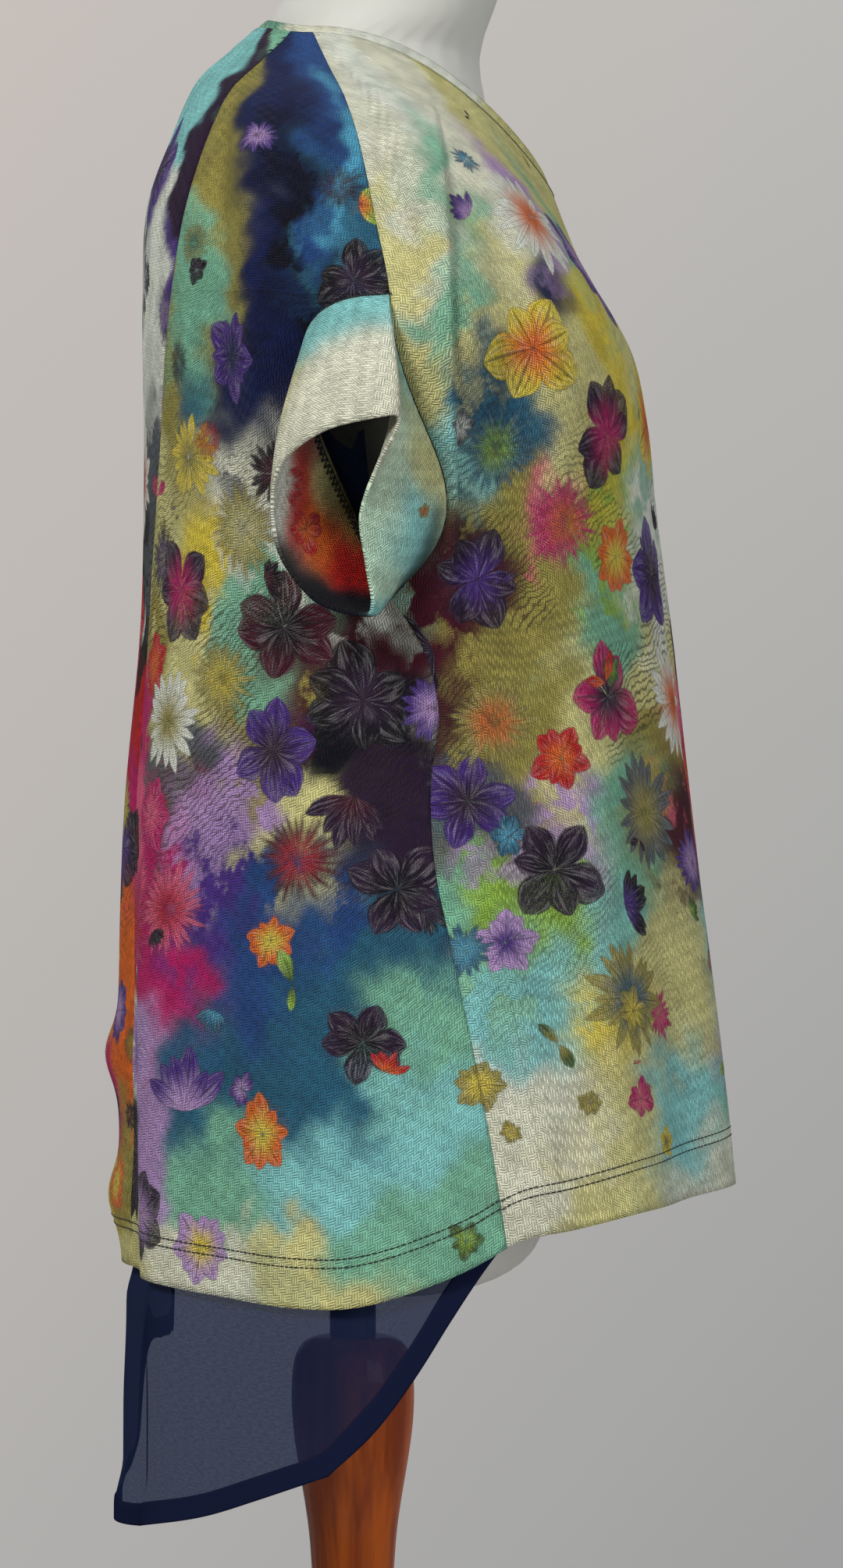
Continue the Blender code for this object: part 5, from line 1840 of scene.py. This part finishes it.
@dataclass
class Blouse:
    """The garment: all its cloth pieces and threads."""

    pieces: list[Piece] = field(default_factory=list)
    threads: dict[str, bpy.types.Object] = field(default_factory=dict)

    def build(self) -> None:
        jersey = PrintedJersey("printed_jersey").build()
        painters = {
            "front": body_print(FRONT_SPOTS, FRONT_MOTIFS),
            "side": body_print(SIDE_PRINT_AND_SHADE_SPOTS, SIDE_MOTIFS),
            "centre": body_print(BACK_SPOTS, BACK_MOTIFS),
            "cuff": Print(read_spots(CUFF_PRINT_AND_SHADE_SPOTS)[: len(entries(CUFF_PRINT_AND_SHADE_SPOTS))],
                          read_motifs(CUFF_MOTIFS)[: len(entries(CUFF_MOTIFS))],
                          (0.00072, 0.045), (10.0, 0.08), sway=0.22),
            "band": Print(read_spots(BAND_SPOTS), [], (0.0015, 1.0), (8.0, 0.0)),
        }
        rows = SURFACE.rows(195)
        plain = SURFACE.plain_edge(rows)
        front_edge = SURFACE.side_edge(rows, True)
        front_edge = front_edge - SURFACE.half_gap(front_edge, rows)
        back_edge = SURFACE.side_edge(rows, False)
        back_edge = back_edge + SURFACE.half_gap(back_edge, rows)
        princess = smooth_curve(PRINCESS_SEAM, rows)
        gap = SURFACE.half_gap(princess, rows)
        inner, outer = princess - gap, princess + gap
        front = panel_grid(-front_edge, front_edge, rows, 240, (-plain, plain), crowd=0.45)
        right = panel_grid(back_edge, inner, rows, 92, (plain, inner))
        left = panel_grid(360 - inner, 360 - back_edge, rows, 92, (360 - inner, 360 - plain))
        centre = panel_grid(outer, 360 - outer, rows, 100, (outer, 360 - outer))
        grids = {
            "front_panel": (front, "front", "printed_jersey", (0.66, 0.76), 0.353),
            "back_panel_right": (right, "side", "printed_jersey_dark", (0.30, 0.79), 0.133),
            "back_panel_left": (left, "side", "printed_jersey_dark", (0.30, 0.79), 0.133),
            "centre_back_panel": (centre, "centre", "printed_jersey_light", (0.31, 0.73), 0.140),
        }
        for name, (grid, painter, slot, flat, area) in grids.items():
            self.pieces.append(
                Piece("cloth_" + name, name, grid, jersey, slot, SHOWN_WALL, flat=flat, area=area,
                      attributes=painters[painter].paint(grid))
            )
        cuff = cuff_grid(120, 34)
        for side, grid in (("right", cuff), ("left", cuff.mirrored())):
            shown = Grid(grid.points, np.abs(grid.across), grid.up, grid.metres)
            self.pieces.append(
                Piece("cloth_cuff_" + side, "cuff_" + side, grid, jersey, "printed_jersey_light", CUFF_WALL,
                      offset=-1, closed=True, turned=True, flat=(0.37, 0.085), area=0.0180,
                      attributes=painters["cuff"].paint(shown))
            )
        band = neckband_grid(150, 8)
        self.pieces.append(
            Piece("cloth_neckband", "neckband", band, jersey, "printed_jersey_light", BAND_WALL, offset=-1,
                  closed=True, turned=True, flat=(0.55, 0.013), area=0.0050,
                  attributes=painters["band"].paint(band))
        )
        layer, hem = sheer_grids()
        sheer = Sheer("navy_sheer", (0.092, 0.104, 0.138), (23, 31, 55)).build()
        solid = Sheer("navy_sheer_double", (0.004, 0.005, 0.010), (22, 28, 52), density=False).build()
        self.pieces.append(
            Piece("cloth_sheer_panel", "sheer_panel", layer, sheer, "navy_sheer", 0.0, flat=(0.70, 0.72),
                  area=0.372, attributes=sheer_density(layer))
        )
        self.pieces.append(
            Piece("cloth_sheer_hem", "sheer_hem", hem, solid, "navy_sheer", 0.0007, flat=(0.66, 0.013),
                  area=0.0077)
        )
        for piece in self.pieces:
            piece.build()
            LOG.info("%s: %d points", piece.name, piece.grid.points.size // 3)
        self.sew()
        for piece in self.pieces:
            threads = [thread for name, thread in self.threads.items() if name.startswith(piece.node or "-")]
            piece.declare(["dress_form"], threads)

    def sew(self) -> None:
        """Sews the twin rows above the hem and the overlock inside the cuffs."""
        work = ThreadWork(PlainFinish("black_thread", (12, 12, 16), 0.8, 2600, 0.00004, 0.1).build())
        side = float(SURFACE.side_edge(np.array([0.97]), True)[0])
        back = float(smooth_curve(PRINCESS_SEAM, 0.97))
        spans = {
            "front_panel_twin_rows": (-side + 0.3, side - 0.3, 0.0250, 0.0330),
            "back_panel_right_twin_rows": (side + 0.5, back - 0.4, 0.0262, 0.0245),
            "back_panel_left_twin_rows": (360 - back + 0.4, 360 - side - 0.5, 0.0245, 0.0262),
            "centre_back_panel_twin_rows": (back + 0.4, 360 - back - 0.4, 0.0250, 0.0250),
        }
        for name, (low, high, first, last) in spans.items():
            azimuth = np.linspace(low, high, 160)
            if name.startswith("front"):
                distance = first + (last - first) * np.cos(np.radians(azimuth)) ** 2
            else:
                distance = first + (last - first) * (azimuth - low) / (high - low)
            lines = [line_above_hem(azimuth, distance - drop) for drop in (0.0, TWIN_ROWS_APART)]
            self.threads[name] = work.sew(name, lines, TWIN_NEEDLE)
        self.sew_seams(work)
        cuff = cuff_grid(320, 34)
        middle = cuff.points.mean(axis=0)
        inward = cuff.normals()
        inward *= np.sign(np.sum(inward * (middle - cuff.points), axis=-1).mean())
        low, high = (cuff.points[:, at] + inward[:, at] * (CUFF_WALL + 0.0003) for at in OVERLOCK_RINGS)
        low, high = np.concatenate([low, low[:1]]), np.concatenate([high, high[:1]])
        zigzag = np.where(np.arange(len(low))[:, None] % 2 == 0, low, high)
        for name, sign in (("cuff_right_overlock", 1.0), ("cuff_left_overlock", -1.0)):
            lines = [line * np.array([sign, 1, 1]) for line in (zigzag, low)]
            self.threads[name] = work.sew(name, lines, OVERLOCK)

    def sew_seams(self, work: ThreadWork) -> None:
        """Sews the fine dark line under the neckband and round each cuff, thread and painted seam shadow in one,
        and the marks at the top of the princess seams.

        Args:
            work: the thread maker.
        """
        azimuth = np.linspace(0, 360, 361)
        # A dark line under the neckband: thread and the seam's painted shadow
        neck = SURFACE.point(azimuth, np.full_like(azimuth, NECK_SEAM_ROW), inset=-SHOWN_WALL - 0.0002)
        self.threads["neckband_thread_and_shadow"] = work.sew("neckband_thread_and_shadow", [neck], NECK_THREAD_AND_SHADOW)
        clock = np.linspace(0, 360, 241)
        ring = armhole_ring(clock)
        ring[:, 0] -= SHOWN_WALL + 0.0001
        # A dark line round each armhole seam: thread and the seam's painted shadow
        for name, sign in (("cuff_right_thread_and_shadow", 1.0), ("cuff_left_thread_and_shadow", -1.0)):
            self.threads[name] = work.sew(name, [ring * np.array([sign, 1, 1])], CUFF_THREAD_AND_SHADOW)
        rows = np.linspace(*PRINCESS_MARK_ROWS, 90)
        for side, sign in (("right", 1.0), ("left", -1.0)):
            seam = SURFACE.point(smooth_curve(PRINCESS_SEAM, rows) + 0.9, rows, inset=-SHOWN_WALL - 0.0001)
            name = f"centre_back_panel_seam_{side}"
            self.threads[name] = work.sew(name, [seam * np.array([sign, 1, 1])], PRINCESS_MARKS)


@dataclass
class Stand:
    """The limbless form, its pole, and the turned column and foot."""

    def build(self) -> None:
        """Builds smooth pieces over the CAD nodes."""
        light, dark = (176, 82, 12), (122, 46, 4)
        cover = PlainFinish("form_cover", (200, 200, 193), 0.9, 1500, 0.00006, 0.05).build()
        metal = PlainFinish("black_metal", (40, 40, 44), 0.45, 900, 0.00002, 0.0, 0.6).build()
        wood = VarnishedWood("varnished_wood", light, dark).build()
        foot = VarnishedWood("varnished_foot", light, dark, grain=(1.0, 0.04, 0.3)).build()
        for node, material, slot, levels in (
            ("dress_form", cover, "form_cover", 3),
            ("stand_pole", metal, "black_metal", 0),
            ("stand_column", wood, "varnished_wood", 2),
            ("stand_base", foot, "varnished_wood", 2),
        ):
            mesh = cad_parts[node].data.copy()
            if node == "dress_form":
                self.fill_nape(mesh)
            mesh.materials.clear()
            mesh.materials.append(material)
            made = add_object("smooth_" + node, mesh)
            if levels:
                weld = made.modifiers.new("weld", "WELD")
                weld.merge_threshold = 0.00001
                soft = made.modifiers.new("smooth", "SUBSURF")
                soft.levels = soft.render_levels = levels
            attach(made, "root")
            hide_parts(node)
            LOG.info("smooth_%s: %d faces before smoothing", node, len(mesh.polygons))

    def fill_nape(self, mesh: bpy.types.Mesh) -> None:
        """Fills the form's nape out towards the neckband.

        Args:
            mesh: the form.
        """
        for point in mesh.vertices:
            swell = NAPE[2] * math.exp(-(((point.co.z - NAPE[0]) / NAPE[1]) ** 2))
            point.co.y += swell * max(0.0, min(1.0, (point.co.y - 0.02) / 0.02))


@dataclass(frozen=True)
class Lamp:
    """A soft area light aimed at the blouse."""

    name: str
    place: tuple[float, float, float]
    size: float
    power: float
    colour: tuple[float, float, float]

    def build(self) -> None:
        """Adds the light."""
        data = bpy.data.lights.new(self.name, "AREA")
        data.shape, data.size = "SQUARE", self.size
        data.energy, data.color = self.power, self.colour
        made = add_object(self.name, data)
        made.location = self.place
        aim = Vector((0, 0, 1.0)) - made.location
        made.rotation_euler = aim.to_track_quat("-Z", "Y").to_euler()


@dataclass
class Studio:
    """Camera, light, floor and backdrop."""

    eye: tuple[float, float, float] = (-2.4, -0.0387, 0.965)
    lens: float = 97.69
    lamps: tuple[Lamp, ...] = (
        Lamp("key", (-2.6, 1.5, 2.8), 0.8, 90.0, (1.0, 0.985, 0.96)),
        Lamp("fill", (-2.4, -2.4, 1.6), 1.8, 45.0, (0.98, 0.98, 1.0)),
        Lamp("top", (0.3, -0.2, 3.2), 1.4, 10.0, (1.0, 1.0, 1.0)),
        Lamp("far", (2.6, 0.4, 1.6), 2.0, 8.0, (0.97, 0.98, 1.0)),
    )
    # The wall's colours at its upper left, upper right, lower left and lower right, with the light's falloff
    # painted in: lighter at the upper left, darker at the lower right
    wall: tuple[tuple[Colour, Colour], ...] = (
        ((199, 192, 187), (188, 186, 183)),
        ((177, 175, 173), (158, 159, 158)),
    )
    half_view: tuple[float, float] = (0.099, 0.184)
    even_light: float = 0.24
    floor_radius: float = 1.3
    floor_drop: float = 0.0005

    def build(self) -> None:
        """Builds the studio."""
        for lamp in self.lamps:
            lamp.build()
        self.backdrop()
        self.floor()
        data = bpy.data.cameras.new("camera")
        data.lens, data.sensor_width = self.lens, 36.0
        camera = add_object("camera", data)
        camera.location = self.eye
        camera.rotation_euler = (math.pi / 2, 0, -math.pi / 2)
        scene = bpy.context.scene
        scene.camera = camera
        scene.view_settings.view_transform = "Standard"
        scene.view_settings.look = "None"

    def backdrop(self) -> None:
        """Makes the world: an even light, and behind it all a wall of soft greys with the light's falloff painted
        in.
        """
        world = bpy.data.worlds.new("studio")
        bpy.context.scene.world = world
        world.use_nodes = True
        world.node_tree.nodes.clear()
        work = NodeWork(world.node_tree)

        def ramp(value: Any, low: float, high: float) -> Any:
            """Maps a value from one end to the other onto 0 to 1."""
            return work.node("ShaderNodeMapRange", {0: value, 1: low, 2: high}).outputs[0]

        def blend(share: Any, first: Any, second: Any) -> Any:
            """Mixes two colours."""
            return work.node("ShaderNodeMix", {0: share, 6: first, 7: second}, data_type="RGBA").outputs[2]

        seen_from = work.node("ShaderNodeTexCoord").outputs["Generated"]
        direction = work.node("ShaderNodeSeparateXYZ", {0: seen_from}).outputs
        # These are the slopes of the view at its two sides, and at its upper and lower edge
        sideways = ramp(direction[1], self.half_view[0], -self.half_view[0])
        downwards = ramp(direction[2], self.half_view[1], -self.half_view[1])
        # Painted light on the wall: its corner colours blend from a lighter upper left to a darker lower right
        upper, lower = (blend(sideways, *(opaque(tone) for tone in pair)) for pair in self.wall)
        wall = work.node("ShaderNodeBackground", {0: blend(downwards, upper, lower)}).outputs[0]
        light = work.node("ShaderNodeBackground", {0: (0.96, 0.98, 1.0, 1), 1: self.even_light}).outputs[0]
        seen = work.node("ShaderNodeLightPath").outputs["Is Camera Ray"]
        choice = work.node("ShaderNodeMixShader", {0: seen, 1: light, 2: wall}).outputs[0]
        work.node("ShaderNodeOutputWorld", {0: choice})

    def floor(self) -> None:
        """Makes a plain round floor under the stand."""
        turn = np.linspace(0, 2 * math.pi, 96, endpoint=False)
        reach = self.floor_radius
        points = np.stack([reach * np.cos(turn), reach * np.sin(turn), np.full_like(turn, -self.floor_drop)], -1)
        mesh = bpy.data.meshes.new("floor")
        mesh.from_pydata(points.tolist(), [], [list(range(len(points)))])
        mesh.materials.append(PlainFinish("floor_grey", (186, 184, 181), 0.8, 300, 0.00002).build())
        add_object("floor", mesh)


def main() -> None:
    """Dresses the part and sets the studio round it."""
    logging.basicConfig(level=logging.INFO)
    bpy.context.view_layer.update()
    Blouse().build()
    Stand().build()
    Studio().build()


if __name__ == "__main__":
    main()
